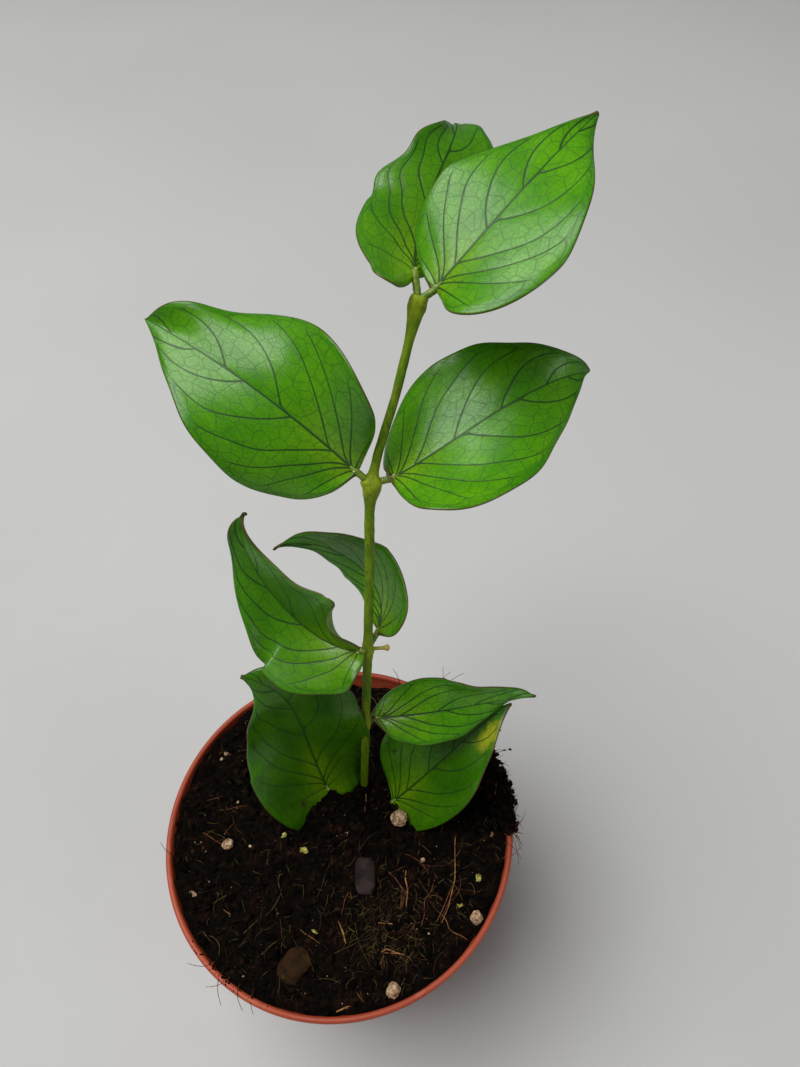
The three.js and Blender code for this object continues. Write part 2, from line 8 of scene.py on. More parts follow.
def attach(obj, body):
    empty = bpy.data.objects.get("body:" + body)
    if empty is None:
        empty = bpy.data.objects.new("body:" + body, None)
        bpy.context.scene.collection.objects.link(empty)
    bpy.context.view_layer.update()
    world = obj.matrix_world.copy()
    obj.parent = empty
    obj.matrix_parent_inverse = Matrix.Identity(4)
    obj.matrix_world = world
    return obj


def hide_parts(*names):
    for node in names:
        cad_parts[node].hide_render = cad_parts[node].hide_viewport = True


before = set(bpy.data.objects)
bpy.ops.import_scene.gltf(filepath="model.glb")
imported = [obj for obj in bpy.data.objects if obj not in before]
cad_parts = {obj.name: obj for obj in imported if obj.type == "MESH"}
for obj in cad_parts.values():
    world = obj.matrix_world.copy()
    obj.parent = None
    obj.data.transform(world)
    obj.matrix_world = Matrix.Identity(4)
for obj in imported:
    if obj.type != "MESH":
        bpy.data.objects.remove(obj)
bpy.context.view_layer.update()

MM = 0.001
TURN = 2 * math.pi

# Camera: where it stands, its three axes and its lens
CAMERA_AT = (0, -100.8, 373.9)
CAMERA_RIGHT = (0.9568, -0.2893, -0.029)
CAMERA_UP = (0.2425, 0.7392, 0.6283)
CAMERA_AHEAD = (0.1603, 0.6082, -0.7774)
LENS = 26.99
SENSOR = 36

# Pot
RIM_RADIUS = 60
POT_HEIGHT = 95
WALL = 1.4
BASE_RADIUS = 42.5
SHOULDER_RADIUS = 56
SHOULDER_HEIGHT = 84
COLLAR_RADIUS = 58.6
LIP_WIDTH = 2
FOOT_WIDTH = 3.5
REST_DISC_RADIUS = 20
GALLERY_RISE = 2.5
DRAIN_HOLES = 8
DRAIN_RADIUS = 4
DRAIN_RING = 29.5
POT_SECTORS = 224

# Soil
SOIL_LEVEL = 93.2
SOIL_CELLS = 250
SPILL_RADIUS = 59.3
# The soil's edge at the pot's shoulder, and how much further out it lies just below the lip
SOIL_EDGE = 54.9
EDGE_WIDENS = 3.2
# The lip begins between these distances from the axis; soil that goes past the third lies over it
LIP_FROM, LIP_ON, OVER_LIP = 57.4, 57.8, 58.4
# Directions, in degrees, between which crumbs spill over the lip
SPILL_FROM_TO = (-20, 17)
# Heaps and hollows of the soil: middle on the plan, height and spread
SOIL_HEAPS = [(-2, 6, 8, 12), (56, -4, 3.6, 15), (-30, -20, 0.6, 16), (24, 50, -3.5, 22), (30, 4, -3.2, 9)]

# Stem
STEM_RADIUS = 1.3
STEM_TOP_RADIUS = 1.1
# The stem grows thinner between these heights
THIN_FROM = 222
THIN_TO = 240
STEM_SIDES = 24
STEM_ROWS = 520
STEM_PATH = [
    (8, 10, 55), (11, 10, 87), (15.6, 11.2, 142), (19.4, 14, 180), (23.6, 22, 204),
    (28.4, 32, 227), (38.4, 41.7, 246), (47.5, 51.4, 264.3),
]
# Height of each node, how much it swells, and how far the swelling reaches below and above
STEM_NODES = [(142, 0.35, 4, 3), (180, 0.45, 4.5, 2.5), (227, 1.5, 3.4, 1.4), (263.3, 1.2, 4.6, 2.5)]
# Dry stub of a flower stalk: its point of the stem's path, the way it grows, length and sides
STUB_AT = 3
STUB_WAY = (0.93, -0.32, 0.16)
STUB_LENGTH = 5
STUB_SIDES = 14

# Leaves
BLADE = 0.7
KEEL = 0.55
BLADE_ROWS = 150
BLADE_COLUMNS = 40
# The blade's rim curls down and its side veins lie in shallow grooves
EDGE_ROLL = 0.3
VEIN_GROOVE = 0.05
VEIN_START = 1.35
OUTLINE_SPLIT = 0.45
SCALLOP_PHASE = 0.8
PETIOLE_RADIUS = 0.95
SKY = np.array([-0.16, -0.61, 0.78]) / math.sqrt(0.16**2 + 0.61**2 + 0.78**2)

# Side veins, from base to tip: how far along the midrib each starts and ends
VEINS = [
    (0.004, 0.08), (0.012, 0.3), (0.03, 0.53), (0.13, 0.7), (0.34, 0.83), (0.56, 0.92), (0.77, 0.97),
]
# The right half's veins leave the midrib this much further up than the left half's
VEIN_STAGGER = 1.14

# Each leaf as in the part, pairs being for the left and the right half. Its rows hold: the four
# points of the midrib; half widths, where the blade is widest, lobes at the base, shoulders, points;
# roll at base and tip in degrees, folds, waves' heights and phases, number of waves, droop, height and
# number of scallops, foot of the stalk, age from fresh bright green to old dark green
LEAF_FIELDS = "midrib half widest lobe shoulder point turn fold wave phase waves droop".split()
LEAF_FIELDS += "scallop scallops stalk age".split()
LEAF_ROWS = {
    "leaf_top_front": (
        [(51.1, 51, 265.3), (62.8, 51.3, 276.9), (78.3, 59.9, 285.1), (100.5, 76, 287.1)],
        (17.6, 20.5), (0.42, 0.36), (0.01, 0.02), (0.16, 0.2), (0.14, 0.27),
        (-31, -7), (9, 10), (0.8, 2), (0.22, 0.78), 2.2, 0, 0.1, 5, (47.8, 51, 263.6), 0.1,
    ),
    "leaf_top_back": (
        [(47.6, 55.4, 267.7), (54.7, 82.5, 266.4), (71.2, 85.5, 285.6), (77.1, 112.4, 272.9)],
        (14.3, 14.3), (0.29, 0.57), (0.19, -0.06), (0.17, 0.12), (0.1, 0.57),
        (21, 2), (-6, -11), (-2.7, 2.1), (0.34, 0.77), 1.82, -0.29, 0.9, 6.14, (47.1, 51.9, 263.9), 0.5,
    ),
    "leaf_middle_left": (
        [(25.2, 33.6, 230.2), (14, 43.2, 243.4), (-0.2, 57.2, 253.2), (-16, 79.2, 253.9)],
        (21, 21), (0.35, 0.39), (-0.01, -0.05), (0.3, 0.34), (0.28, 0.3),
        (-34, 25), (9, 14), (1.7, 4.8), (0.01, 0.51), 2, 0.3, 0.25, 5.4, (28, 31.8, 226.8), 0.3,
    ),
    "leaf_middle_right": (
        [(33.3, 31.2, 227.5), (47.8, 33, 230), (69.9, 34.5, 247.9), (90, 41.9, 237.8)],
        (19.4, 20.7), (0.43, 0.3), (0.01, 0.03), (0.29, 0.36), (0.32, 0.29),
        (-44, 19), (0, 12), (1.9, 1.3), (0.25, 0.37), 2.2, 0.2, 0.25, 5.8, (28.6, 32, 226.8), 0.2,
    ),
    "leaf_low_left": (
        [(17.4, 12.5, 182.6), (3.8, 23, 170.7), (-12, 42, 203.8), (-4.4, 44, 214)],
        (17, 21.4), (0.35, 0.4), (-0.01, 0.01), (-0.1, 0.01), (0.14, 0.01),
        (-9, -30), (20, 48), (1.5, -0.4), (0.52, -0.05), 4.2, -0.6, 0.5, 6, (19.2, 14, 180.4), 0.6,
    ),
    "leaf_low_back": (
        [(23, 16.5, 182.8), (35, 32.9, 181.3), (18.8, 53.7, 188.7), (1, 57, 180.4)],
        (7, 13.4), (0.52, 0.33), (-0.09, 0.04), (0.09, 0.13), (0.1, 0.16),
        (-37, -47), (11, 15), (0, 1.1), (0.55, 0.38), 2.8, -0.2, 0.35, 5.2, (19.6, 14.2, 180.6), 0.5,
    ),
    "leaf_small_right": (
        [(18.6, 12, 141.6), (37.4, 5, 144.8), (56, 3.5, 149.6), (69.2, 2.5, 143.6)],
        (11.4, 10.1), (0.42, 0.33), (-0.01, -0.06), (0.07, 0.16), (0.08, 0.08),
        (-22, 64), (9, 5), (2.4, -1.3), (0.27, 0.73), 1.75, 0.3, 0.2, 6.1, (15.7, 11.2, 141), 0.1,
    ),
    "leaf_base_left": (
        [(-1, 10.5, 101.6), (-5.7, 18.8, 140.3), (-0.5, 15.5, 163.6), (-17, 23.4, 168.4)],
        (21.2, 20.5), (0.26, 0.51), (0.16, 0.12), (0.01, 0.1), (0.42, 0.29),
        (15, -31), (24, 4), (1.3, -1.9), (0, 0.45), 3.1, -0.3, 0.26, 6.1, (6.5, 10.5, 84), 1,
    ),
    "leaf_base_right": (
        [(19.9, 2.8, 92), (34, 1.6, 109.2), (44.4, 0.5, 134.7), (61.3, 3.3, 142.5)],
        (19.4, 17), (0.3, 0.48), (-0.1, 0.06), (-0.01, 0.22), (0.14, 0.29),
        (-19, -54), (9, 7), (0, 0.3), (0.05, 0.47), 3, -0.75, 0.1, 6, (13.5, 7.5, 80), 0.8,
    ),
}
LEAVES = {
    name: dict(zip(LEAF_FIELDS, row), seed=number)
    for number, (name, row) in enumerate(LEAF_ROWS.items(), 1)
}

# Marks on single leaves: kind, how far along the midrib, millimetres to its left, and reach both ways
MARKS = {
    "leaf_base_right": [("yellow", 0.81, -5, 9, 4), ("brown", 0.24, 12.9, 1.4, 0.7)],
    "leaf_middle_right": [("brown", 0.44, -3.5, 0.6, 0.5)],
    "leaf_low_back": [("brown", 0.26, -7.2, 0.7, 0.6)],
    "leaf_base_left": [("brown", 0.03, 10.2, 1.2, 1)],
}

# Loose grains as in the part: centre on the plan, three radii, sink, turn, seed
GRAINS = {
    "perlite_middle": ((20.2, -4.6), (2.9, 2.8, 2.7), 0.6, 10, 3),
    "perlite_front": ((3.4, -54.4), (2.3, 2.1, 2), 0.8, 40, 5),
    "perlite_right": ((35, -42.5), (2.1, 1.9, 1.8), 0.8, 70, 8),
    "perlite_left": ((-38.5, 4.5), (2, 1.7, 1.6), 0.7, 25, 9),
    "pebble": ((-24.5, -38.5), (5.6, 4.6, 2.8), 1.6, 30, 11),
    "bark_chip": ((4, -19.3), (3.2, 5.4, 1.7), 0.9, -16, 14),
}

# Small perlites and yellow-green flecks on the plan
SMALL_PERLITES = [(-35.9, 36.9), (-34, 38.2), (1.4, -4.6), (49.2, -19.2), (24, -20), (-52, -8)]
FLECKS = [(-19.3, 1.8), (-13.8, -5.2), (31.1, -37.4), (-16.6, -31.1), (40, -31)]
# Straws on the soil: thickness, place among the thread finishes, then points of the plan
STRAWS = [
    (0.3, 0, (17.5, -20.7), (16.6, -26), (14.2, -32.8)),
    (0.26, 0, (36.9, -15.9), (32.3, -29), (27.6, -36.4), (23.5, -40.7)),
    (0.2, 1, (31, -30.6), (26, -36), (21.6, -40)),
    (0.17, 1, (26.7, -26), (20.7, -32.7), (16.1, -41.5)),
    (0.32, 0, (-8, -29.8), (-7.6, -37.6)),
    (0.16, 0, (-21, -28.5), (-19, -31), (-15.2, -35.2)),
    (0.16, 1, (-1.4, -21.8), (-5, -25), (-7, -28.9)),
    (0.18, 2, (-5.5, -10.6), (-10.5, -17.4), (-13.9, -22.8)),
    (0.32, 0, (-15.6, -54.6), (-9.7, -54.4)),
    (0.18, 1, (-7.5, -51.1), (-6.5, -54.6)),
    (0.26, 0, (3.8, -33.8), (9.2, -36.7)),
    (0.26, 0, (2.1, -42.8), (4.5, -42.6), (9.6, -46.6)),
    (0.2, 0, (1, -46.5), (4, -44), (8.4, -45.2)),
    (0.18, 1, (-46.4, 11.9), (-40, 5.4)),
    (0.16, 0, (-43.6, -14.8), (-40.9, -18.4)),
    (0.14, 3, (-47.3, -12.5), (-39.7, -11.2)),
    (0.24, 0, (11.8, 7.5), (10.8, 4), (9.1, 0.9)),
    (0.2, 1, (57, -2.1), (52.9, -11)),
    (0.18, 3, (-25.7, -1.7), (-27, -6.3)),
    (0.18, 3, (-6, -31.6), (-3.5, -34.7)),
    (0.16, 1, (12, -20), (14.6, -27), (12.4, -33)),
    (0.14, 3, (-34, -33), (-27, -29.6)),
    (0.14, 3, (-40, -26), (-33, -21.4)),
    (0.14, 0, (30, -48), (25.6, -43), (24.6, -37)),
]
# Threads over the lip: direction and bend in degrees, length and rise of the free end
RIM_THREADS = [
    (10.4, 2.4, 9.8, 1.6), (7.4, -1.6, 9.4, 1.2), (13, 1.4, 8.4, 2.4), (9, -2.6, 7.4, 1),
    (-21, 6, 7.5, 3), (-24, -5, 6, 1.4), (-29, 4, 5.5, 0.4), (36, 4, 12, 6), (38, -5, 13.5, 7),
    (40, -3, 12, 5), (52, 4, 5, 1.6), (212, -5, 6, 0.6), (216, 6, 7.5, 0.2), (219, -4, 6.5, -0.8),
    (223, 5, 5.5, 0.8), (228, 3, 5, -0.5), (173, -4, 4.5, 1),
]
# This many of them, from the first, carry a crumb at the free end
CARRIERS = 4
# Short threads that fringe the spill, and the points along every thread over the lip
SHORT_THREADS = 110
THREAD_POINTS = 12
# Crumbs on the spill and stray ones on the lip
SPILL_CRUMBS = 300
LIP_CRUMBS = 36
# Heaps of loose clods: count, seed, and where they aren't all over, middle on the plan and spread
CLODS = [
    (900, 31), (160, 32, (0, 6), (8, 8)), (150, 33, (52, -4), (5, 9)), (44, 37, (11.7, 8.9), (1.1, 0.45)),
]
# The last heap clings to the stem's foot, this much above the soil
FOOT_RISE = 0.8
# Count and seed of the fine grit all over the soil
GRIT = (2600, 34)
# Pieces of fine fibres: heaps as above, ranges of length and radius, first finish, seed, curl and lift
FIBRES = {
    "peat_fibres": ([(80, 62), (50, 63, (16, -34), (12, 9))], (4, 13), (0.05, 0.11), 1, 64, 1, 0.7),
    "peat_fuzz": ([(560, 66), (330, 67, (6, -37), (8, 8))], (3, 6.5), (0.03, 0.075), 2, 68, 0.9, 0.9),
}
# Nothing loose lies further from the pot's axis than this
SCATTER_REACH = 56.5

# Below 1 the chip's ball is drawn out towards a box
CHIP_SQUARENESS = 0.4


# Colours are written as they look on a screen, 0 to 255
def tint(red, green, blue):
    linear = [((c / 255 + 0.055) / 1.055) ** 2.4 if c > 10 else c / 255 / 12.92 for c in (red, green, blue)]
    return (*linear, 1)


class Paint:
    """A material whose nodes are added one call at a time."""

    def __init__(self, name):
        self.material = bpy.data.materials.new(name)
        self.material.use_nodes = True
        self.tree = self.material.node_tree
        self.shader = self.tree.nodes["Principled BSDF"]

    def node(self, kind, inputs=None, **settings):
        made = self.tree.nodes.new("ShaderNode" + kind)
        for key, value in settings.items():
            setattr(made, key, value)
        for key, value in (inputs or {}).items():
            self.feed(made.inputs[key], value)
        return made

    def feed(self, socket, value):
        if isinstance(value, bpy.types.NodeSocket):
            self.tree.links.new(value, socket)
        else:
            socket.default_value = value

    def math(self, operation, a, b=0.0):
        return self.node("Math", {0: a, 1: b}, operation=operation).outputs[0]

    def times(self, a, b):
        return self.math("MULTIPLY", a, b)

    def plus(self, a, b):
        return self.math("ADD", a, b)

    def most(self, first, *others):
        for other in others:
            first = self.math("MAXIMUM", first, other)
        return first

    def mix(self, factor, a, b):
        return self.node("Mix", {0: factor, 6: a, 7: b}, data_type="RGBA").outputs[2]

    def coats(self, color, *coats):
        """A colour with others over it, each as strong as its own pattern."""
        for strength, tone in coats:
            color = self.mix(strength, color, tint(*tone))
        return color

    def mottle(self, pattern, low, high, one, two):
        return self.mix(self.ramp(pattern, low, high), tint(*one), tint(*two))

    def sheen(self, place, scale, detail, low, high):
        """Uneven roughness between two values."""
        return self.ramp(self.noise(place, scale, detail), 0.3, 0.7, low, high)

    def ramp(self, value, low, high, start=0.0, end=1.0):
        """Smooth step from start to end as value goes from low to high."""
        inputs = {0: value, 1: low, 2: high, 3: start, 4: end}
        return self.node("MapRange", inputs, interpolation_type="SMOOTHSTEP").outputs[0]

    def place(self):
        return self.node("TexCoord").outputs["Object"]

    def stretched(self, place, scale, turn=0.0):
        inputs = {"Vector": place, "Scale": scale, "Rotation": (0, 0, turn)}
        return self.node("Mapping", inputs).outputs[0]

    def attribute(self, name, output="Fac"):
        return self.node("Attribute", attribute_name=name).outputs[output]

    def noise(self, place, scale, detail=3.0, roughness=0.5, distortion=0.0):
        inputs = {
            "Vector": place, "Scale": scale, "Detail": detail, "Roughness": roughness,
            "Distortion": distortion,
        }
        return self.node("TexNoise", inputs).outputs[0]

    def cells(self, place, scale, feature="F1", randomness=1.0, room="3D"):
        inputs = {"Vector": place, "Scale": scale, "Randomness": randomness}
        return self.node("TexVoronoi", inputs, feature=feature, voronoi_dimensions=room).outputs[0]

    def bump(self, height, distance, strength=1.0, under=None):
        inputs = {"Height": height, "Distance": distance, "Strength": strength}
        if under is not None:
            inputs["Normal"] = under
        return self.node("Bump", inputs).outputs[0]

    def finish(self, color, roughness, normal=None, **uniform):
        self.feed(self.shader.inputs["Base Color"], color)
        self.feed(self.shader.inputs["Roughness"], roughness)
        if normal is not None:
            self.feed(self.shader.inputs["Normal"], normal)
        for key, value in uniform.items():
            self.shader.inputs[key.replace("_", " ")].default_value = value
        return self.material


def mesh_object(name, points, groups, materials, smooth=True):
    """Object from points in millimetres and groups of (face array, material number)."""
    mesh = bpy.data.meshes.new(name)
    mesh.vertices.add(len(points))
    mesh.vertices.foreach_set("co", (np.asarray(points, float) * MM).astype(np.float32).ravel())
    groups = [(np.asarray(faces), slot) for faces, slot in groups]
    sizes = np.concatenate([np.full(len(faces), faces.shape[1]) for faces, _ in groups])
    mesh.loops.add(int(sizes.sum()))
    mesh.loops.foreach_set("vertex_index", np.concatenate([f.ravel() for f, _ in groups]))
    mesh.polygons.add(len(sizes))
    mesh.polygons.foreach_set("loop_start", np.concatenate([[0], np.cumsum(sizes)[:-1]]))
    slots = np.concatenate([np.full(len(faces), slot) for faces, slot in groups])
    mesh.polygons.foreach_set("material_index", slots)
    mesh.update(calc_edges=True)
    if smooth:
        mesh.shade_smooth()
    for material in materials:
        mesh.materials.append(material)
    piece = bpy.data.objects.new(name, mesh)
    bpy.context.scene.collection.objects.link(piece)
    return piece


def add_attribute(piece, name, values):
    kind, field = ("FLOAT", "value") if values.ndim == 1 else ("FLOAT_VECTOR", "vector")
    layer = piece.data.attributes.new(name, kind, "POINT")
    layer.data.foreach_set(field, values.astype(np.float32).ravel())


def grid_faces(rows, columns, start=0, wrap=False):
    """Quads of a grid of points held row by row; wrap joins the last column to the first."""
    i, j = np.meshgrid(np.arange(rows - 1), np.arange(columns if wrap else columns - 1), indexing="ij")
    k = (j + 1) % columns
    quads = [i * columns + j, (i + 1) * columns + j, (i + 1) * columns + k, i * columns + k]
    return start + np.stack([q.ravel() for q in quads], 1)


def unit(v):
    return v / np.maximum(np.linalg.norm(v, axis=-1, keepdims=True), 1e-9)


def smooth_step(x, low, high):
    t = np.clip((x - low) / (high - low), 0, 1)
    return t * t * (3 - 2 * t)


LATTICE = np.random.default_rng(7).random((8, 96, 96))


def lumps(x, y, size, layer=0):
    """Smooth random relief from -1 to 1 whose lumps are about that size across."""
    u, v = x / size, y / size
    i, j = np.floor(u).astype(int), np.floor(v).astype(int)
    fu, fv = smooth_step(u - i, 0, 1), smooth_step(v - j, 0, 1)
    n = LATTICE.shape[1]
    low, high = (
        LATTICE[layer, i % n, k % n] * (1 - fu) + LATTICE[layer, (i + 1) % n, k % n] * fu
        for k in (j, j + 1)
    )
    return 2 * (low * (1 - fv) + high * fv) - 1


def around(a, r, z):
    """Points at directions, distances from the pot's axis and heights."""
    return np.stack(np.broadcast_arrays(r * np.cos(a), r * np.sin(a), z), -1)


def directions(count):
    return np.arange(count) * TURN / count


def closed(rings, first, last):
    """Points and faces of a row of rings that a point closes at either end."""
    count, sides = len(rings), len(rings[0])
    quads = grid_faces(count, sides, wrap=True)[:, ::-1]
    k = np.arange(sides)
    n = (k + 1) % sides
    low, end = count * sides, (count - 1) * sides
    caps = np.concatenate([
        np.stack([np.full(sides, low), n, k], 1),
        np.stack([np.full(sides, low + 1), end + k, end + n], 1),
    ])
    return np.concatenate([*rings, [first], [last]]), quads, caps


def tube(path, radii, sides):
    """Points and faces of a closed round tube through a path."""
    path = np.asarray(path, float)
    side = np.array([1.0, 0, 0.01])
    rings = []
    a = directions(sides)
    for p, d, r in zip(path, unit(np.gradient(path, axis=0)), radii):
        side = unit(side - side.dot(d) * d)
        across = np.cross(d, side)
        rings.append(p + r * (np.cos(a)[:, None] * side + np.sin(a)[:, None] * across))
    return closed(rings, path[0], path[-1])


def bundle(name, threads, materials):
    """One piece of many tubes: path, radii, sides and material number of each."""
    points, groups, start = [], [], 0
    for path, radii, sides, pick in threads:
        p, quads, caps = tube(path, radii, sides)
        points.append(p)
        groups += [(quads + start, pick), (caps + start, pick)]
        start += len(p)
    return mesh_object(name, np.concatenate(points), groups, materials)


def cubic(a, b, c, d, t):
    s = 1 - t
    return s**3 * a + 3 * s * s * t * b + 3 * s * t * t * c + t**3 * d


# Pot


def pot_profile():
    """Radius and height round the pot's wall, from the middle of the base outwards and back in."""
    foot = BASE_RADIUS - FOOT_WIDTH
    floor = WALL + GALLERY_RISE
    slope = (SHOULDER_RADIUS - BASE_RADIUS) / SHOULDER_HEIGHT
    lip_middle = RIM_RADIUS - LIP_WIDTH / 2
    under = [
        (0, 0), (10, 0), (REST_DISC_RADIUS - 0.4, 0), (REST_DISC_RADIUS + 0.3, 0.3),
        (REST_DISC_RADIUS + GALLERY_RISE, GALLERY_RISE), (foot - GALLERY_RISE, GALLERY_RISE),
        (foot - 0.3, 0.3), (foot + 0.4, 0), (BASE_RADIUS - 1, 0), (BASE_RADIUS - 0.3, 0.3),
    ]
    wall = [(BASE_RADIUS + slope * z, z) for z in (1, 2, 10, 20, 30, 40, 50, 60, 70, 80, 83.6)]
    collar = [
        (SHOULDER_RADIUS + 0.25, SHOULDER_HEIGHT), (COLLAR_RADIUS - 0.5, SHOULDER_HEIGHT + 0.7),
        (COLLAR_RADIUS, SHOULDER_HEIGHT + 1.2), (COLLAR_RADIUS + 0.45, SHOULDER_HEIGHT + 5),
        (RIM_RADIUS - 0.35, POT_HEIGHT - 2.2),
    ]
    turns = [math.pi * k / 12 for k in range(13)]
    lip = [(lip_middle + math.cos(a), POT_HEIGHT - 1.05 + 1.05 * math.sin(a)) for a in turns]
    inner = [(lip_middle - 1.3, POT_HEIGHT - 3), (SHOULDER_RADIUS - WALL + 0.5, SHOULDER_HEIGHT + 1)]
    inner += [(BASE_RADIUS + slope * z - WALL, z) for z in (83, 70, 55, 40, 25, 12, floor + 2)]
    inner += [(BASE_RADIUS + slope * floor - WALL - 1.5, floor), (30, floor), (0, floor)]
    return under + wall + collar + lip + inner


def make_pot(material):
    profile = pot_profile()
    rings = [around(directions(POT_SECTORS), r, z) for r, z in profile[1:-1]]
    points, quads, caps = closed(rings, (0, 0, profile[0][1]), (0, 0, profile[-1][1]))
    pot = mesh_object("pot_plastic", points, [(quads, 0), (caps, 0)], [material])
    cut_drains(pot)
    return pot


def cut_drains(pot):
    """Round holes through the raised floor."""
    sides = 32
    points, groups = [], []
    for i in range(DRAIN_HOLES):
        middle = around(TURN * (i + 0.5) / DRAIN_HOLES, DRAIN_RING, 0)
        start = 2 * sides * i
        for z in (-5, 9):
            points.append(around(directions(sides), DRAIN_RADIUS, z) + middle)
        groups.append((grid_faces(2, sides, start, wrap=True)[:, ::-1], 0))
        groups.append((start + np.arange(sides)[None, ::-1], 0))
        groups.append((start + sides + np.arange(sides)[None, :], 0))
    cutter = mesh_object("drain_cutter", np.concatenate(points), groups, [], smooth=False)
    cut = pot.modifiers.new("drains", "BOOLEAN")
    cut.operation = "DIFFERENCE"
    cut.solver = "EXACT"
    cut.object = cutter
    bpy.context.view_layer.update()
    graph = bpy.context.evaluated_depsgraph_get()
    mesh = bpy.data.meshes.new_from_object(pot.evaluated_get(graph))
    pot.modifiers.clear()
    pot.data = mesh
    bpy.data.objects.remove(cutter)
    mesh.set_sharp_from_angle(angle=math.radians(50))


# Soil


def soil_height(x, y):
    """Height of the soil's surface, as in the part."""
    z = SOIL_LEVEL
    for cx, cy, height, spread in SOIL_HEAPS:
        z = z + height * np.exp(-((x - cx) ** 2 + (y - cy) ** 2) / spread**2)
    z = z + 0.7 * np.sin(0.31 * x + 0.17 * y) * np.cos(0.27 * y - 0.11 * x + 1.3)
    return z + 0.45 * np.sin(0.74 * x - 0.52 * y + 0.6) * np.cos(0.63 * y + 0.38 * x)


def crumbly(x, y):
    """Fine crumbly relief on top of the soil's surface."""
    z = 0.7 * lumps(x, y, 4.6, 0) + 0.55 * lumps(x, y, 2.2, 1)
    return z + 0.5 * np.abs(lumps(x, y, 1.3, 2)) + 0.25 * lumps(x, y, 0.75, 3) - 0.35


def soil_reach(a):
    """How far the soil goes in a direction: to the pot's inner wall, or over the lip in the spill."""
    r = np.full_like(a, 57.0)
    for _ in range(6):
        z = soil_height(r * np.cos(a), r * np.sin(a))
        r = SOIL_EDGE + EDGE_WIDENS * np.clip((z - SHOULDER_HEIGHT) / 9.9, 0, 1)
    at_lip = soil_height(58 * np.cos(a), 58 * np.sin(a))
    return r + (SPILL_RADIUS - r) * smooth_step(at_lip, 95.2, 95.7)


def soil_surface(x, y):
    """Height of the fine surface, which comes down to the wall or the lip at its edge."""
    r = np.hypot(x, y)
    a = np.arctan2(y, x)
    reach = soil_reach(a)
    z = soil_height(x, y) + crumbly(x, y)
    over = np.maximum(z, POT_HEIGHT + 0.1) * smooth_step(r, LIP_FROM, LIP_ON)
    z = np.where((reach > OVER_LIP) & (r > LIP_FROM), np.maximum(z, over), z)
    edge = np.where(reach > OVER_LIP, POT_HEIGHT - 0.3, z - 1)
    return z + (edge - z) * smooth_step(r, reach - 1, reach)


def make_soil(material):
    """A disc of near-square cells from wall to wall, on a skirt that closes it below."""
    n = SOIL_CELLS
    g = np.linspace(-1, 1, n)
    a, b = np.meshgrid(g, g, indexing="ij")
    wide = np.abs(a) > np.abs(b)
    r = np.where(wide, a, b)
    safe = np.where(np.abs(r) < 1e-9, 1, r)
    angle = np.where(wide, math.pi / 4 * b / safe, math.pi / 2 - math.pi / 4 * a / safe)
    x, y = r * np.cos(angle), r * np.sin(angle)
    reach = soil_reach(np.arctan2(y, x))
    x, y = x * reach, y * reach
    top = np.stack([x, y, soil_surface(x, y)], -1).reshape(-1, 3)
    index = np.arange(n * n).reshape(n, n)
    border = np.concatenate([index[:-1, 0], index[-1, :-1], index[:0:-1, -1], index[0, :0:-1]])
    low = top[border] * (0.93, 0.93, 1) - (0, 0, 14)
    count = len(border)
    k = np.arange(count)
    skirt = np.stack([border, n * n + k, n * n + (k + 1) % count, border[(k + 1) % count]], 1)
    points = np.concatenate([top, low])
    faces = grid_faces(n, n)
    base = (n * n + k)[None, :]
    return mesh_object("peat_soil", points, [(faces, 0), (skirt[:, ::-1], 0), (base[:, ::-1], 0)],
                       [material])


def ball(detail):
    """Points and triangles of a round ball of near-equal triangles."""
    g = (1 + math.sqrt(5)) / 2
    p = [np.roll((a, b * g, 0), k) for k in range(3) for b in (1, -1) for a in (-1, 1)]
    f = [(0, 11, 5), (0, 5, 1), (0, 1, 7), (0, 7, 10), (0, 10, 11), (1, 5, 9), (5, 11, 4),
         (11, 10, 2), (10, 7, 6), (7, 1, 8), (3, 9, 4), (3, 4, 2), (3, 2, 6), (3, 6, 8),
         (3, 8, 9), (4, 9, 5), (2, 4, 11), (6, 2, 10), (8, 6, 7), (9, 8, 1)]
    points, faces = unit(np.array(p)), np.array(f)
    for _ in range(detail):
        edges = np.sort(np.concatenate([faces[:, [0, 1]], faces[:, [1, 2]], faces[:, [2, 0]]]), 1)
        edges, where = np.unique(edges, axis=0, return_inverse=True)
        middle = len(points) + where.ravel().reshape(3, -1)
        points = np.concatenate([points, unit(points[edges[:, 0]] + points[edges[:, 1]])])
        a, b, c = faces.T
        ab, bc, ca = middle
        faces = np.concatenate([
            np.stack([a, ab, ca], 1), np.stack([b, bc, ab], 1),
            np.stack([c, ca, bc], 1), np.stack([ab, bc, ca], 1),
        ])
    return points, faces


def turned(points, rng):
    """Points turned any way round."""
    q = unit(rng.normal(size=4))
    w, x, y, z = q
    matrix = np.array([
        [1 - 2 * (y * y + z * z), 2 * (x * y - z * w), 2 * (x * z + y * w)],
        [2 * (x * y + z * w), 1 - 2 * (x * x + z * z), 2 * (y * z - x * w)],
        [2 * (x * z - y * w), 2 * (y * z + x * w), 1 - 2 * (x * x + y * y)],
    ])
    return points @ matrix.T


def clods(name, places, sizes, materials, picks, detail, seed, flat=0.7, rough=0.28):
    """Many small uneven lumps bedded in the soil, as one piece."""
    rng = np.random.default_rng(seed)
    shape, faces = ball(detail)
    points, groups = [], []
    for k, ((x, y, z), size) in enumerate(zip(places, sizes)):
        bumps = 1 + rough * rng.normal(size=(len(shape), 1))
        stretch = size * rng.uniform(0.6, 1.25, 3)
        lump = turned(shape * bumps * stretch, rng) * (1, 1, flat)
        points.append(lump + (x, y, z + 0.25 * size * flat))
        groups.append((faces + k * len(shape), int(picks[k])))
    return mesh_object(name, np.concatenate(points), groups, materials)


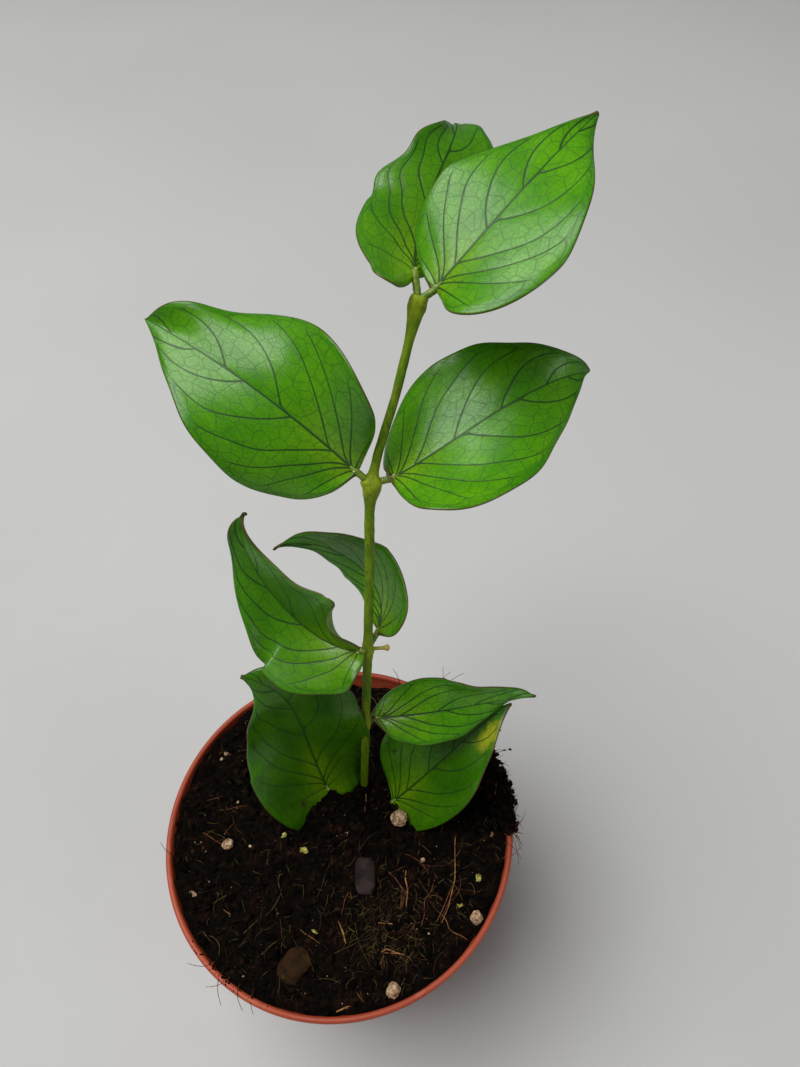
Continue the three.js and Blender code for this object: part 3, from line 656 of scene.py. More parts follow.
def scattered(count, seed, middle=(0, 0), spread=None):
    """Random places on the soil, all over or gathered round a middle."""
    rng = np.random.default_rng(seed)
    places = []
    while len(places) < count:
        if spread is None:
            x, y = rng.uniform(-SCATTER_REACH, SCATTER_REACH, 2)
        else:
            x, y = np.array(middle) + rng.normal(size=2) * spread
        if math.hypot(x, y) < min(SCATTER_REACH, soil_reach(np.array([math.atan2(y, x)]))[0] - 0.8):
            places.append((x, y))
    return on_soil(places)


def spill_places(count, seed):
    """Crumbs heaped on the lip where the soil spills over it."""
    rng = np.random.default_rng(seed)
    a = np.radians(rng.uniform(*SPILL_FROM_TO, count))
    r = np.clip(rng.normal(58.8, 1.5, count), 55, 62.2)
    z = POT_HEIGHT + rng.uniform(0, 1, count) - 0.5 * np.maximum(r - RIM_RADIUS, 0)
    return around(a, r, z)


def lip_places(count, seed):
    """Stray crumbs on top of the lip, most of them at the front left."""
    rng = np.random.default_rng(seed)
    a = np.radians(rng.normal(216, 11, count))
    r = RIM_RADIUS - LIP_WIDTH / 2 + rng.uniform(-0.9, 0.6, count)
    return around(a, r, POT_HEIGHT - 0.1)


def make_crumbs(materials):
    rng = np.random.default_rng(21)
    heaps = [scattered(*heap) for heap in CLODS]
    heaps[-1] += (0, 0, FOOT_RISE)
    carried = [rim_path(*thread)[-1] for thread in RIM_THREADS[:CARRIERS]]
    near = np.concatenate([*heaps, spill_places(SPILL_CRUMBS, 35), carried, lip_places(LIP_CRUMBS, 36)])
    sizes = np.concatenate([
        rng.uniform(0.5, 1.35, len(near) - CARRIERS - LIP_CRUMBS), np.full(CARRIERS, 0.5),
        rng.uniform(0.14, 0.36, LIP_CRUMBS),
    ])
    picks = rng.integers(0, len(materials), len(near))
    coarse = clods("soil_crumbs", near, sizes, materials, picks, 1, 41, rough=0.34)
    small = scattered(*GRIT)
    sizes = rng.uniform(0.22, 0.6, len(small))
    picks = rng.integers(0, len(materials), len(small))
    return [coarse, clods("soil_grit", small, sizes, materials, picks, 0, 42)]


def make_specks(material):
    rng = np.random.default_rng(51)
    medium, tiny = scattered(14, 54), scattered(150, 52)
    places = np.concatenate([on_soil(SMALL_PERLITES), medium, tiny])
    sizes = np.concatenate([
        np.full(len(SMALL_PERLITES), 1), rng.uniform(0.3, 0.55, len(medium)),
        rng.uniform(0.08, 0.22, len(tiny)),
    ])
    return clods("pale_specks", places, sizes, [material], np.zeros(len(places)), 1, 53, flat=0.9, rough=0.2)


def make_flecks(material):
    """Thin curled flakes of yellow-green leaf and seed husk on the soil."""
    places = on_soil(FLECKS)
    sizes, picks = np.full(len(places), 1.15), np.zeros(len(places))
    return clods("green_flecks", places, sizes, [material], picks, 2, 57, flat=0.5, rough=0.24)


def on_soil(places):
    """Points of the plan set on the soil's surface."""
    x, y = np.array(places, float).T
    return np.column_stack([x, y, soil_surface(x, y)])


def fibre_path(start, heading, length, curl, rng, lift):
    """Points of one thread that lies on the soil and bows up a little between its ends."""
    count = max(6, int(length / 0.8))
    x, y = start
    points = []
    bend = rng.normal() * curl
    for i in range(count):
        f = i / (count - 1)
        reach = soil_reach(np.array([math.atan2(y, x)]))[0]
        if math.hypot(x, y) > reach - 0.6:
            break
        points.append((x, y, f))
        heading += (bend + rng.normal() * curl * 0.6) / count
        x += math.cos(heading) * length / count
        y += math.sin(heading) * length / count
    if len(points) < 5:
        return None
    x, y, f = np.array(points).T
    return laid_on_soil(x, y, f, lift)


def laid_on_soil(x, y, f, lift):
    """Points of a thread over places of the plan, its ends in the soil and its middle lifted."""
    z = soil_surface(x, y)
    even = np.convolve(np.pad(z, 2, mode="edge"), np.ones(5) / 5, "valid")
    z = np.maximum(even, z - 0.25) + 0.15 + lift * np.sin(math.pi * f)
    z[[0, -1]] -= 0.5
    return np.column_stack([x, y, z])


def make_fibres(name, rng, materials):
    """Loose roots and threads of peat on the soil, as one piece."""
    heaps, lengths, radii, first, seed, curl, lift = FIBRES[name]
    materials = materials[first:]
    starts = np.concatenate([scattered(*heap) for heap in heaps])
    lengths = rng.uniform(*lengths, len(starts))
    radii = rng.uniform(*radii, len(starts))
    rng = np.random.default_rng(seed)
    threads = []
    for place, length, radius in zip(starts, lengths, radii):
        heading = rng.uniform(0, TURN)
        path = fibre_path(place[:2], heading, length, curl, rng, lift * rng.uniform(0.2, 1))
        if path is not None:
            f = np.linspace(0, 1, len(path))
            thick = radius * (0.55 + 0.45 * np.sin(math.pi * (0.15 + 0.8 * f)))
            threads.append((path, thick, 6, int(rng.integers(0, len(materials)))))
    return bundle(name, threads, materials)


def make_straws(materials):
    """The thicker straws and roots at their places on the soil."""
    threads = []
    for k, (thick, pick, *places) in enumerate(STRAWS):
        corners = np.array(places, float)
        steps = np.linalg.norm(np.diff(corners, axis=0), axis=1)
        reach = np.concatenate([[0], np.cumsum(steps)])
        f = np.linspace(0, 1, max(8, int(reach[-1] / 0.6)))
        far = f * reach[-1]
        x, y = (
            np.interp(far, reach, corners[:, i]) + 0.45 * lumps(far + 9 * k, f + k, 4, 2 + i)
            for i in (0, 1)
        )
        threads.append((laid_on_soil(x, y, f, 0.5), thick * (0.5 + 0.3 * np.sin(math.pi * f)), 8, pick))
    return bundle("peat_straws", threads, materials)


def rim_path(turn, bend, length, rise):
    """Points of a thread that leads out over the lip."""
    f = np.linspace(0, 1, THREAD_POINTS)
    a = math.radians(turn) + math.radians(bend) * f**2
    return around(a, 57 + length * f, POT_HEIGHT + 0.4 + rise * f**1.6 - 0.9 * (1 - f))


def make_rim_threads(materials):
    """Thin roots that reach out over the lip, and the short ones that fringe the spill."""
    rng = np.random.default_rng(69)
    shapes = list(RIM_THREADS)
    for _ in range(SHORT_THREADS):
        turn, bend = rng.uniform(*SPILL_FROM_TO), 4 * rng.normal()
        shapes.append((turn, bend, rng.uniform(3, 6.4), rng.uniform(-1.4, 1.8)))
    thin = np.linspace(0.14, 0.07, THREAD_POINTS)
    threads = [(rim_path(*shape), thin, 6, int(rng.integers(0, len(materials)))) for shape in shapes]
    return bundle("rim_threads", threads, materials)


# Grains


def make_grain(name, material):
    """The part's lumpy grain with finer bumps."""
    (x, y), size, sink, turn, seed = GRAINS[name]
    points, faces = ball(4)
    px, py, pz = points.T
    bump = 1 + 0.07 * np.sin(3.1 * px + seed) * np.cos(2.7 * py + 2 * seed)
    bump = bump + 0.05 * np.sin(5.3 * pz + 4.1 * px + seed)
    fine = lumps(px * 5 + seed, py * 5 + pz * 3, 1.1, 4) + lumps(pz * 9, px * 9 + py * 4, 1.3, 5)
    bump = bump + (0.02 if name in ("pebble", "bark_chip") else 0.05) * fine
    if name == "bark_chip":
        points = np.sign(points) * np.abs(points) ** CHIP_SQUARENESS
    points = points * size * bump[:, None]
    c, s = math.cos(math.radians(turn)), math.sin(math.radians(turn))
    points = points @ np.array([[c, s, 0], [-s, c, 0], [0, 0, 1]])
    z = float(soil_height(np.array(x), np.array(y))) + size[2] - sink
    return mesh_object(name + "_fine", points + (x, y, z), [(faces, 0)], [material])


# Stem


def stem_point(u):
    """Point of the smooth curve through the stem's points; u runs from 0 to 1."""
    last = len(STEM_PATH) - 1
    i = min(int(u * last), last - 1)
    t = u * last - i
    p = [np.array(STEM_PATH[max(0, min(last, k))], float) for k in (i - 1, i, i + 1, i + 2)]
    return 0.5 * (2 * p[1] + (p[2] - p[0]) * t + (2 * p[0] - 5 * p[1] + 4 * p[2] - p[3]) * t * t
                  + (3 * p[1] - 3 * p[2] + p[3] - p[0]) * t**3)


def stem_radius(z):
    r = STEM_RADIUS + (STEM_TOP_RADIUS - STEM_RADIUS) * smooth_step(z, THIN_FROM, THIN_TO)
    for height, swell, below, above in STEM_NODES:
        reach = below if z < height else above
        r += swell * math.exp(-(((z - height) / reach) ** 2))
    return r


def make_stem(material):
    path = np.array([stem_point(i / STEM_ROWS) for i in range(STEM_ROWS + 1)])
    radii = np.array([stem_radius(p[2]) for p in path])
    points, quads, caps = tube(path, radii, STEM_SIDES)
    body = points[: len(path) * STEM_SIDES].reshape(len(path), STEM_SIDES, 3)
    middle = path[:, None]
    angle = directions(STEM_SIDES)
    height = path[:, 2][:, None]
    relief = 0.035 * lumps(height * 1.1, 9 * np.cos(angle) + 20, 1.6, 2)
    relief = relief + 0.05 * lumps(height, 5 * np.sin(angle) + 40, 5, 3)
    near = sum(np.exp(-(((path[:, 2] - node) / 3.5) ** 2)) for node, *_ in STEM_NODES)
    relief = relief + 0.14 * near[:, None] * lumps(height * 1.4, 7 * np.cos(angle) + 60, 1.9, 5)
    body = middle + (body - middle) * (1 + relief[..., None])
    points[: len(path) * STEM_SIDES] = body.reshape(-1, 3)
    node = stem_point(STUB_AT / (len(STEM_PATH) - 1))
    out = unit(np.array(STUB_WAY))
    reach = np.array([0, 0.6, 1.6, 2.8, 3.8, 4.3, 4.6, 4.9, 5.2, 5.5, 5.6]) / 5 * STUB_LENGTH
    thick = [0.75, 0.62, 0.52, 0.5, 0.55, 0.66, 0.86, 0.93, 0.86, 0.6, 0.25]
    stub_path = node + out * (reach[:, None] + STEM_RADIUS / 2)
    stub, stub_quads, stub_caps = tube(stub_path, thick, STUB_SIDES)
    count = len(points)
    groups = [(quads, 0), (caps, 0), (stub_quads + count, 0), (stub_caps + count, 0)]
    stem = mesh_object("stem_fine", np.concatenate([points, stub]), groups, [material])
    dry = np.repeat(np.linspace(0.1, 1, len(thick)), STUB_SIDES)
    nodes = [np.repeat(near, STEM_SIDES), near[[0, -1]], np.zeros(len(stub))]
    add_attribute(stem, "node", np.concatenate(nodes))
    add_attribute(stem, "dry", np.concatenate([np.zeros(count), dry, [0.1, 1]]))
    return stem


# Leaves


def bezier(p, t):
    return cubic(*p, t[..., None])


def bezier_slope(p, t):
    t = t[..., None]
    s = 1 - t
    return 3 * s * s * (p[1] - p[0]) + 6 * s * t * (p[2] - p[1]) + 3 * t * t * (p[3] - p[2])


def outline(leaf, h, s):
    """Edge of one half of a blade: how far along the midrib, and how far out."""
    w, wide, lobe = leaf["half"][h], leaf["widest"][h], leaf["lobe"][h]
    a = s / OUTLINE_SPLIT
    b = (s - OUTLINE_SPLIT) / (1 - OUTLINE_SPLIT)
    basal = s < OUTLINE_SPLIT
    along = np.where(basal, cubic(0, -lobe, -0.9 * lobe, wide, a),
                     cubic(wide, wide + leaf["shoulder"][h], 0.86, 1, b))
    out = np.where(basal, cubic(0, 0.35 * w, w, w, a), cubic(w, w, leaf["point"][h] * w, 0, b))
    ripple = np.sin(TURN * (leaf["scallops"] * s + SCALLOP_PHASE)) * np.sin(math.pi * s)
    return along, out + leaf["scallop"] * ripple


def blade_half(leaf, h, s, t):
    """Points of one half's middle surface, with places along the midrib and out from it."""
    p = np.array(leaf["midrib"], float)
    along_edge, out_edge = outline(leaf, h, s)
    start = s**VEIN_START
    bend = start + 0.35 * (along_edge - start)
    u = (1 - t) ** 2 * start + 2 * (1 - t) * t * bend + t * t * along_edge
    v = 2 * (1 - t) * t * 0.6 * out_edge + t * t * out_edge
    c = np.clip(u, 0, 1)
    origin = bezier(p, c) + 3 * np.minimum(u, 0)[..., None] * (p[1] - p[0])
    along = unit(bezier_slope(p, c))
    up = unit(SKY - (along @ SKY)[..., None] * along)
    left = np.cross(up, along)
    roll = np.radians(leaf["turn"][0] + (leaf["turn"][1] - leaf["turn"][0]) * c)[..., None]
    side = left * np.cos(roll) + up * np.sin(roll)
    face = up * np.cos(roll) - left * np.sin(roll)
    lift = math.radians(leaf["fold"][h]) * (1 - 0.6 * c)
    sign = 1 if h == 0 else -1
    ripple = np.sin(TURN * (leaf["waves"] * s + leaf["phase"][h]))
    height = t * t * leaf["wave"][h] * ripple - leaf["droop"] * (v / 20) ** 2
    points = origin + side * (sign * v * np.cos(lift))[..., None]
    return points + face * (v * np.sin(lift) + height)[..., None], u, sign * v


def vein_count(leaf, h, u, t):
    """Which side vein a place is on, as a number that is whole right on a vein."""
    rng = np.random.default_rng(leaf["seed"] * 10 + h)
    starts, ends = np.array(VEINS).T
    starts = starts * (VEIN_STAGGER if h == 1 else 1)
    ends = ends + rng.normal(size=len(VEINS)) * 0.015
    numbers = np.array([0.5, *range(1, len(VEINS) + 1), len(VEINS) + 0.5])
    count = np.zeros_like(u)
    for j in range(u.shape[1]):
        away = t[0, j]
        veins = starts + (ends - starts) * (0.75 * away + 0.25 * away**2)
        first = min(u[:, j].min(), veins[0]) - 0.02
        count[:, j] = np.interp(u[:, j], [first, *veins, 1.03], numbers)
    return count


def make_blade(leaf):
    """Middle surface of a whole blade on a grid, with what its veins need at each point."""
    s = np.arange(1, BLADE_ROWS) / BLADE_ROWS
    out = np.linspace(0, 1, BLADE_COLUMNS + 1)
    halves = []
    for h, t in ((1, out[:0:-1]), (0, out)):
        ss, tt = np.meshgrid(s, t, indexing="ij")
        points, u, v = blade_half(leaf, h, ss, tt)
        halves.append((points, u, v, vein_count(leaf, h, u, tt), tt, ss))
    return [np.concatenate(pair, 1) for pair in zip(*halves)]


def surface_gradient(values, points):
    """Size of the change of values for each millimetre over the surface."""
    ps, pt = np.gradient(points, axis=0), np.gradient(points, axis=1)
    vs, vt = np.gradient(values, axis=0), np.gradient(values, axis=1)
    e, f, g = (ps * ps).sum(-1), (ps * pt).sum(-1), (pt * pt).sum(-1)
    area = np.maximum(e * g - f * f, 1e-6)
    return np.sqrt(np.maximum((g * vs**2 - 2 * f * vs * vt + e * vt**2) / area, 1e-8))


def arc_lengths(points):
    """Millimetres over the blade from its midrib to each point."""
    steps = np.linalg.norm(np.diff(points, axis=1, prepend=points[:, :1]), axis=2)
    left, right = steps[:, BLADE_COLUMNS:0:-1], steps[:, BLADE_COLUMNS + 1:]
    return np.concatenate([np.cumsum(left, 1)[:, ::-1], np.zeros((len(points), 1)), np.cumsum(right, 1)], 1)


def blade_faces(rows, columns):
    """Both sides of a blade, the fans at its ends and the rims that join them."""
    size = rows * columns
    quads = grid_faces(rows, columns)
    j = np.arange(columns - 1)
    last = (rows - 1) * columns
    faces = [quads, quads[:, ::-1] + size]
    for start, low, high, flip in ((0, 2 * size, 2 * size + 2, 1), (size, 2 * size + 1, 2 * size + 3, -1)):
        faces.append(np.stack([np.full_like(j, low), start + j, start + j + 1], 1)[:, ::flip])
        faces.append(np.stack([start + last + j, np.full_like(j, high), start + last + j + 1], 1)[:, ::flip])
    for column, flip in ((0, -1), (columns - 1, 1)):
        line = np.arange(rows) * columns + column
        above = np.concatenate([[2 * size], line, [2 * size + 2]])
        below = np.concatenate([[2 * size + 1], size + line, [2 * size + 3]])
        faces.append(np.stack([above[:-1], above[1:], below[1:], below[:-1]], 1)[:, ::flip])
    return [(f, 0) for f in faces]


def make_leaf(name, leaf, materials):
    points, u, v, count, t, s = make_blade(leaf)
    rows, columns = t.shape
    p = np.array(leaf["midrib"], float)
    length = np.linalg.norm(np.diff(bezier(p, np.linspace(0, 1, 60)), axis=0), axis=1).sum()
    normals = unit(np.cross(np.gradient(points, axis=0), np.gradient(points, axis=1)))
    seed = leaf["seed"]
    x = u * length
    count = count + 0.05 * lumps(x + 31 * seed, v + 17 * seed, 9, 4) * smooth_step(t, 0, 0.3)
    gap = 1 / np.clip(surface_gradient(count, points), 0.03, 5)
    arc = arc_lengths(points)
    phase = count % 1
    arch = 0.83 + 0.4 * phase * (1 - phase)
    edge_arc = np.where(np.arange(columns) < BLADE_COLUMNS, arc[:, :1], arc[:, -1:])
    away = np.abs(count - np.round(count)) * gap
    groove = np.exp(-((away / 0.8) ** 2)) * (1 - smooth_step(t, 0.78, 0.9)) * smooth_step(t, 0, 0.1)
    swell = 0.1 * lumps(x + 13 * seed, v - 29 * seed, 11, 5) * smooth_step(np.abs(v), 1, 6)
    swell = swell * (1 - smooth_step(t, 0.9, 1)) - EDGE_ROLL * smooth_step(t, 0.84, 1)
    thick = BLADE / 2 * np.sqrt(np.clip(1 - ((t - 0.95) / 0.055) ** 2 * (t > 0.95), 0.06, 1))
    keel = KEEL * np.exp(-((v / 0.75) ** 2)) * (1 - s)
    mid_groove = 0.12 * np.exp(-((v / 0.6) ** 2)) * (1 - s)
    top = points + normals * (thick + swell - VEIN_GROOVE * groove - mid_groove)[..., None]
    under = points + normals * (swell - thick - keel - VEIN_GROOVE * groove)[..., None]
    base, tip = p[0], p[3]
    lift = normals[0, BLADE_COLUMNS] * BLADE / 2
    corners = np.array([base + lift, base - lift * 1.5, tip + lift * 0.3, tip - lift * 0.3])
    size = rows * columns
    stalk_points, stalk_groups = leaf_stalk(leaf, p, lift, 2 * size + len(corners))
    every = np.concatenate([top.reshape(-1, 3), under.reshape(-1, 3), corners, stalk_points])
    piece = mesh_object(name + "_blade", every, blade_faces(rows, columns) + stalk_groups, materials)

    def spread(name, above, below, at_corners=0):
        """Attribute of the blade's two sides, its corners, and nothing on the stalk."""
        ends = np.zeros((len(corners), *above.shape[2:])) + at_corners
        flat = [side.reshape(size, -1).squeeze() for side in (above, below)]
        rest = np.zeros((len(stalk_points), *above.shape[2:]))
        add_attribute(piece, name, np.concatenate([*flat, ends, rest]))

    beyond = len(VEINS) + 0.5
    fields = {
        "vein": (count, [0.5, 0.5, beyond, beyond]), "gap": (gap, 1), "out": (t, 0), "mid": (np.abs(v), 0),
        "rim": ((1 - t) * edge_arc, 0), "loop": ((t - arch) * edge_arc, -5), "along": (u, [0, 0, 1, 1]),
        "yellow": (mark_strength(name, "yellow", x, v, length), 0),
        "brown": (mark_strength(name, "brown", x, v, length), 0),
        "flat": (np.stack([x + 50 * seed, v, arc], -1), 0),
        "net": (np.stack([count * 2.6, arc / 3.4, np.where(v < 0, 7.0, 0) + seed * 3], -1), 0),
    }
    for field, (values, at_corners) in fields.items():
        spread(field, values, values, at_corners)
    spread("under", np.zeros_like(t), np.ones_like(t), [0, 1, 0, 1])
    add_attribute(piece, "age", np.full(len(every), float(leaf["age"])))
    return piece


def mark_strength(name, kind, x, y, length):
    """How strong the marks of one kind are over a blade, from 0 to 1."""
    strength = np.zeros_like(x)
    ragged = 1 + 0.35 * lumps(x, y + 60, 2.2, 6) + 0.2 * lumps(x, y + 90, 0.9, 7)
    for mark, along, across, reach, wide in MARKS.get(name, []):
        if mark == kind:
            far = np.hypot((x - along * length) / reach, (y - across) / wide) * ragged
            strength = np.maximum(strength, 1 - smooth_step(far, 0.15 if kind == "yellow" else 0.55, 1.1))
    return strength


def leaf_stalk(leaf, p, lift, start):
    """Short stalk into the blade's base, and the small gland where they meet, pale partly in its own colour
    and partly as a painted highlight.
    """
    foot = np.array(leaf["stalk"], float)
    along = unit(p[1] - p[0])
    f = np.linspace(0, 1, 14)[:, None]
    path = np.concatenate([foot + (p[0] - foot) * f, p[0] + along * np.array([[0.7], [1.5], [2.4]])])
    radii = PETIOLE_RADIUS * np.concatenate([1 - 0.06 * f[:, 0], [0.85, 0.66, 0.4]])
    ring = 1 + 0.05 * np.sin(np.arange(len(radii)) * 1.9)
    stalk, quads, caps = tube(path, radii * ring, 18)
    shape, faces = ball(2)
    gland = p[0] + along * 0.8 + unit(lift) * 0.75 + shape * (0.34, 0.34, 0.26)
    second = start + len(stalk)
    groups = [(quads + start, 1), (caps + start, 1), (faces + second, 2)]
    return np.concatenate([stalk, gland]), groups


# Materials


def leaf_material():
    m = Paint("leaf_green")
    names = "vein gap out mid rim loop along under age yellow brown".split()
    vein, gap, out, mid, rim, loop, along, under, age, yellow, brown = map(m.attribute, names)
    flat, net = m.attribute("flat", "Vector"), m.attribute("net", "Vector")

    wander = m.noise(flat, 0.35, 2)
    width = m.times(m.ramp(out, 0, 0.9, 0.25, 0.15), m.ramp(wander, 0.3, 0.7, 0.85, 1.15))
    away = m.times(m.math("PINGPONG", vein, 0.5), gap)
    side = m.ramp(m.math("DIVIDE", away, width), 0.5, 1.5, 1, 0)
    side = m.times(side, m.ramp(out, 0.82, 0.93, 1, 0.15))
    arch = m.ramp(m.math("ABSOLUTE", loop), 0.08, 0.26, 0.5, 0)
    midrib = m.ramp(m.math("DIVIDE", mid, m.ramp(along, 0, 1, 0.42, 0.18)), 0.6, 1.2, 1, 0)
    mesh = m.stretched(flat, (0.7, 1, 0))
    coarse = m.ramp(m.cells(mesh, 0.36, "DISTANCE_TO_EDGE", 0.9, "2D"), 0.02, 0.06, 0.5, 0)
    fine = m.ramp(m.cells(mesh, 0.95, "DISTANCE_TO_EDGE", 1, "2D"), 0.035, 0.12, 0.28, 0)
    web = m.times(m.most(coarse, fine), m.ramp(wander, 0.25, 0.6, 0.7, 1))
    lines = m.most(side, arch, midrib, web)

    fresh = m.mottle(m.noise(flat, 0.09), 0.3, 0.7, (62, 131, 0), (86, 153, 4))
    old = m.mottle(m.noise(flat, 0.07), 0.3, 0.7, (36, 86, 0), (62, 110, 2))
    streak = m.noise(m.stretched(net, (4, 1.2, 1)), 1.6, 4, 0.65)
    color = m.coats(
        m.mix(m.ramp(age, 0, 1), fresh, old),
        # Painted light shining through the blade: yellow-green brighter towards the base and the midrib
        (m.times(m.ramp(along, 0, 0.45, 0.6, 0), m.ramp(mid, 0, 9, 1, 0.1)), (124, 164, 8)),
        (m.ramp(streak, 0.32, 0.7, 0, 0.14), (40, 100, 2)),
        (m.ramp(rim, 0.6, 3, 0.45, 0), (46, 112, 0)),
        (m.times(yellow, 0.75), (168, 170, 26)),
        (m.times(lines, 0.88), (10, 46, 10)),
        (m.times(under, 0.55), (112, 140, 70)),
        (m.ramp(m.cells(flat, 0.28), 0.045, 0.065, 0.8, 0), (24, 42, 12)),
        (m.times(brown, 0.85), (62, 38, 20)),
        (m.ramp(rim, 0.1, 0.34, 0.75, 0), (72, 44, 20)),
    )
    relief = m.plus(m.times(lines, -0.4), m.times(m.noise(flat, 2.6), 0.25))
    gloss = m.ramp(m.noise(flat, 0.5, 4, 0.6), 0.3, 0.7, 0.22, 0.32)
    gloss = m.plus(gloss, m.times(lines, 0.2))
    return m.finish(color, gloss, m.bump(relief, 0.0001, 0.5), Specular_IOR_Level=0.3)


def stalk_material():
    m = Paint("stalk_green")
    place = m.place()
    color = m.mottle(m.noise(place, 900), 0.35, 0.65, (70, 106, 10), (112, 130, 20))
    color = m.coats(color, (m.ramp(m.noise(place, 2600, 2), 0.62, 0.7, 0, 0.7), (56, 34, 16)))
    normal = m.bump(m.noise(place, 2200), 0.0002, 0.5)
    return m.finish(color, m.sheen(place, 1300, 2, 0.4, 0.6), normal)


def gland_material():
    m = Paint("gland_pale_and_painted_highlight")
    place = m.place()
    # Pale gland colour, partly the gland's own and partly a painted highlight
    color = m.mix(m.noise(place, 1500), tint(184, 192, 150), tint(130, 146, 80))
    return m.finish(color, m.sheen(place, 2500, 2, 0.3, 0.55))


def stem_material():
    m = Paint("stem_olive")
    place = m.place()
    node = m.attribute("node")
    grain = m.stretched(place, (1, 1, 0.16))
    specks = m.ramp(m.cells(place, 620), 0.1, 0.17, 0.75, 0)
    color = m.coats(
        m.mottle(m.noise(grain, 700), 0.35, 0.65, (72, 104, 2), (98, 122, 6)),
        (m.ramp(m.noise(grain, 260, 2), 0.55, 0.75, 0, 0.35), (84, 68, 14)),
        (m.times(node, m.ramp(m.noise(place, 420), 0.35, 0.6, 0.3, 1)), (128, 146, 16)),
        (m.times(node, m.ramp(m.noise(place, 900, 4, 0.6), 0.57, 0.66, 0, 0.6)), (84, 48, 20)),
        (specks, (58, 44, 22)),
        (m.attribute("dry"), (176, 142, 84)),
    )
    normal = m.bump(m.plus(m.noise(grain, 1500, 4), m.times(specks, 0.4)), 0.0002, 0.5)
    return m.finish(color, m.sheen(grain, 900, 2, 0.5, 0.66), normal, Specular_IOR_Level=0.2)


def pot_material():
    m = Paint("pot_terracotta")
    place = m.place()
    level = m.stretched(place, (1, 1, 5))
    scuff = m.ramp(m.noise(level, 60, 5, 0.65, 0.4), 0.56, 0.72, 0, 0.45)
    color = m.coats(
        m.mottle(m.noise(place, 30, 4), 0.3, 0.7, (142, 58, 36), (160, 70, 43)),
        (scuff, (184, 112, 92)),
        (m.ramp(m.noise(place, 420, 4, 0.6), 0.6, 0.74, 0, 0.35), (96, 52, 36)),
    )
    gloss = m.plus(m.sheen(place, 90, 4, 0.42, 0.54), m.times(scuff, 0.3))
    grain = m.bump(m.noise(place, 1600), 0.0002, 0.25)
    waves = m.bump(m.noise(level, 14, 2), 0.0012, 0.2, grain)
    return m.finish(color, gloss, waves, Specular_IOR_Level=0.28)


def peat_material(name, dark, brown, warm):
    m = Paint(name)
    place = m.place()
    rusty = m.ramp(m.noise(place, 160, 4, 0.6), 0.52, 0.7, 0, 0.7)
    color = m.coats(m.mottle(m.noise(place, 500, 5, 0.65), 0.38, 0.66, dark, brown), (rusty, warm))
    threads = m.stretched(place, (1, 5, 2), 0.6)
    relief = m.plus(m.noise(place, 2200, 6, 0.7), m.noise(threads, 700, 4, 0.6, 0.6))
    gloss = m.sheen(place, 1100, 3, 0.72, 1)
    return m.finish(color, gloss, m.bump(relief, 0.0012, 1), Specular_IOR_Level=0.06)


def fibre_material(name, light, deep):
    m = Paint(name)
    place = m.place()
    color = m.mottle(m.noise(place, 700, 4), 0.35, 0.65, light, deep)
    normal = m.bump(m.noise(place, 4000), 0.0001, 0.5)
    return m.finish(color, m.sheen(place, 1500, 2, 0.6, 0.85), normal, Specular_IOR_Level=0.1)


def perlite_material():
    m = Paint("perlite_pale")
    place = m.place()
    color = m.coats(
        m.mottle(m.noise(place, 600, 5, 0.6), 0.35, 0.65, (204, 174, 138), (150, 112, 82)),
        (m.ramp(m.noise(place, 700, 4, 0.6), 0.46, 0.62, 0, 0.75), (58, 38, 24)),
    )
    relief = m.plus(m.ramp(m.cells(place, 1500), 0.1, 0.5), m.noise(place, 2400, 4))
    return m.finish(color, m.sheen(place, 800, 2, 0.75, 0.95), m.bump(relief, 0.0005, 0.7))


def stone_material(name, one, two, three):
    m = Paint(name)
    place = m.place()
    patch = m.ramp(m.noise(place, 150), 0.5, 0.62, 0, 0.8)
    color = m.coats(m.mottle(m.noise(place, 330, 5, 0.6), 0.35, 0.65, one, two), (patch, three))
    relief = m.noise(place, 1500, 6, 0.65)
    gloss = m.ramp(relief, 0.3, 0.7, 0.6, 0.9)
    return m.finish(color, gloss, m.bump(relief, 0.0006, 0.9), Specular_IOR_Level=0.1)


def floor_material():
    m = Paint("floor_pale")
    place = m.place()
    color = m.mottle(m.noise(place, 2, 2), 0.3, 0.7, (182, 183, 182), (176, 177, 176))
    return m.finish(color, m.sheen(place, 40, 2, 0.8, 0.9))


# Studio


def make_floor():
    reach = 4000
    points = np.array([(-reach, -reach, 0), (reach, -reach, 0), (reach, reach, 0), (-reach, reach, 0)])
    floor = mesh_object("floor", points, [(np.array([[0, 1, 2, 3]]), 0)], [floor_material()], smooth=False)


def area_light(name, at, aim, size, power, color=(1, 1, 1)):
    data = bpy.data.lights.new(name, "AREA")
    data.shape = "DISK"
    data.size = size
    data.energy = power
    data.color = color
    lamp = bpy.data.objects.new(name, data)
    bpy.context.scene.collection.objects.link(lamp)
    lamp.location = at
    ahead = Vector(aim) - Vector(at)
    lamp.rotation_euler = ahead.to_track_quat("-Z", "Y").to_euler()


def light_studio():
    world = bpy.data.worlds.new("soft_room")
    world.use_nodes = True
    world.node_tree.nodes["Background"].inputs[0].default_value = (1, 1, 1, 1)
    world.node_tree.nodes["Background"].inputs[1].default_value = 0.15
    bpy.context.scene.world = world
    middle = (0.02, 0.02, 0.15)
    area_light("key", (-0.82, 0.34, 2.38), middle, 2.1, 78, (1, 0.99, 0.98))
    area_light("fill", (1.2, -1.3, 0.9), middle, 1.2, 7)


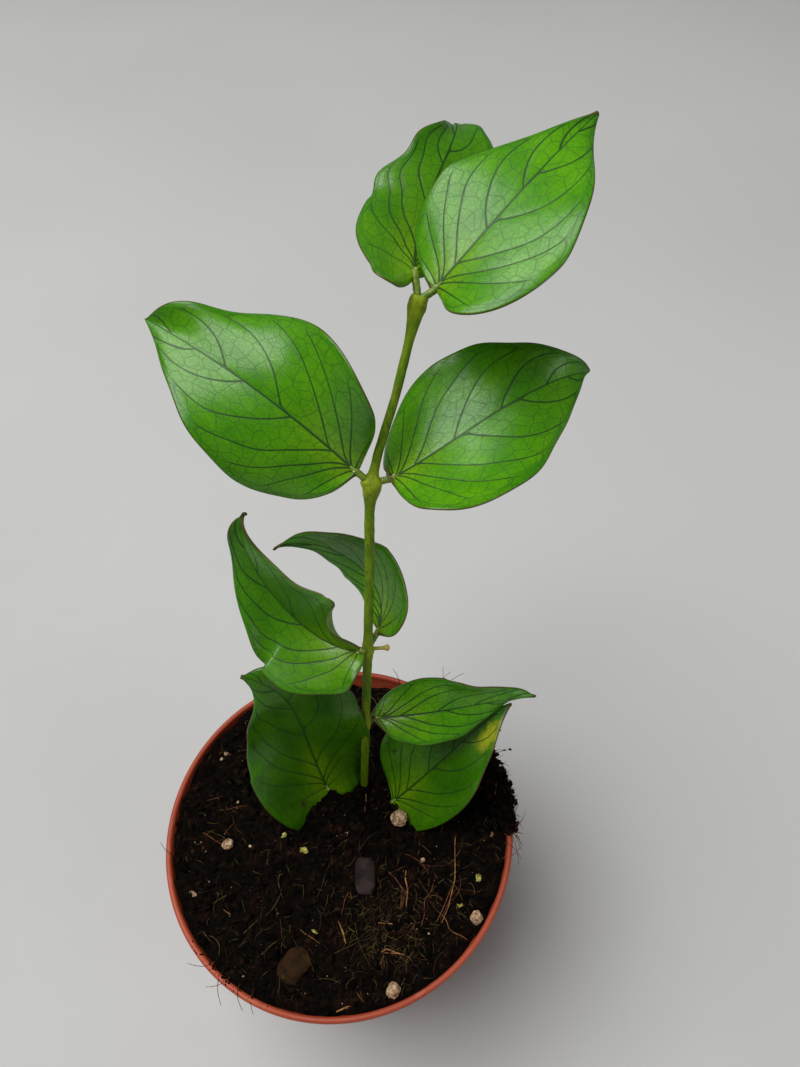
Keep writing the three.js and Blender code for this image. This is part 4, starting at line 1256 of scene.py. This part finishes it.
def make_camera():
    data = bpy.data.cameras.new("camera")
    data.lens = LENS
    data.sensor_width = SENSOR
    data.clip_start = 0.01
    camera = bpy.data.objects.new("camera", data)
    bpy.context.scene.collection.objects.link(camera)
    columns = [Vector(CAMERA_RIGHT), Vector(CAMERA_UP), -Vector(CAMERA_AHEAD)]
    turn = Matrix([[c[i] for c in columns] for i in range(3)]).to_4x4()
    camera.matrix_world = Matrix.Translation(Vector(CAMERA_AT) * MM) @ turn
    bpy.context.scene.camera = camera


def settle(piece, slot, *nodes):
    """Ties a piece to the part's one body and hides the nodes that it stands for; slot, its finish, is not
    used.
    """
    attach(piece, "root")
    if nodes:
        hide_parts(*nodes)


def build():
    settle(make_pot(pot_material()), "pot", "pot")
    peats = [
        peat_material("peat_dark", (6, 4, 2), (24, 16, 10), (40, 23, 14)),
        peat_material("peat_black", (3, 2, 1), (14, 10, 6), (24, 14, 9)),
        peat_material("peat_brown", (18, 11, 7), (46, 29, 19), (66, 38, 24)),
    ]
    settle(make_soil(peats[0]), "soil", "soil")
    for piece in make_crumbs(peats):
        settle(piece, "soil")
    pale = perlite_material()
    settle(make_specks(pale), "perlite")
    threads = [
        fibre_material("fibre_tan", (146, 106, 62), (98, 66, 38)),
        fibre_material("fibre_rust", (112, 66, 42), (70, 40, 28)),
        fibre_material("fibre_dark", (66, 44, 32), (40, 28, 22)),
        fibre_material("fibre_olive", (98, 84, 42), (58, 50, 26)),
    ]
    settle(make_straws(threads), "soil")
    rng = np.random.default_rng(61)
    for name in FIBRES:
        settle(make_fibres(name, rng, threads), "soil")
    settle(make_rim_threads(threads[1:3]), "soil")
    settle(make_flecks(fibre_material("fleck_green", (176, 168, 92), (112, 116, 44))), "soil")
    stones = {
        "pebble": stone_material("pebble_brown", (48, 29, 12), (34, 22, 9), (68, 47, 21)),
        "bark_chip": stone_material("bark_dark", (38, 29, 29), (26, 20, 19), (52, 41, 40)),
    }
    slots = {"pebble": "pebble", "bark_chip": "bark"}
    for name in GRAINS:
        settle(make_grain(name, stones.get(name, pale)), slots.get(name, "perlite"), name)
    settle(make_stem(stem_material()), "stem", "stem")
    greens = [leaf_material(), stalk_material(), gland_material()]
    for name, leaf in LEAVES.items():
        settle(make_leaf(name, leaf, greens), "leaf", name)


make_camera()
make_floor()
light_studio()
bpy.context.scene.view_settings.view_transform = "Standard"
build()
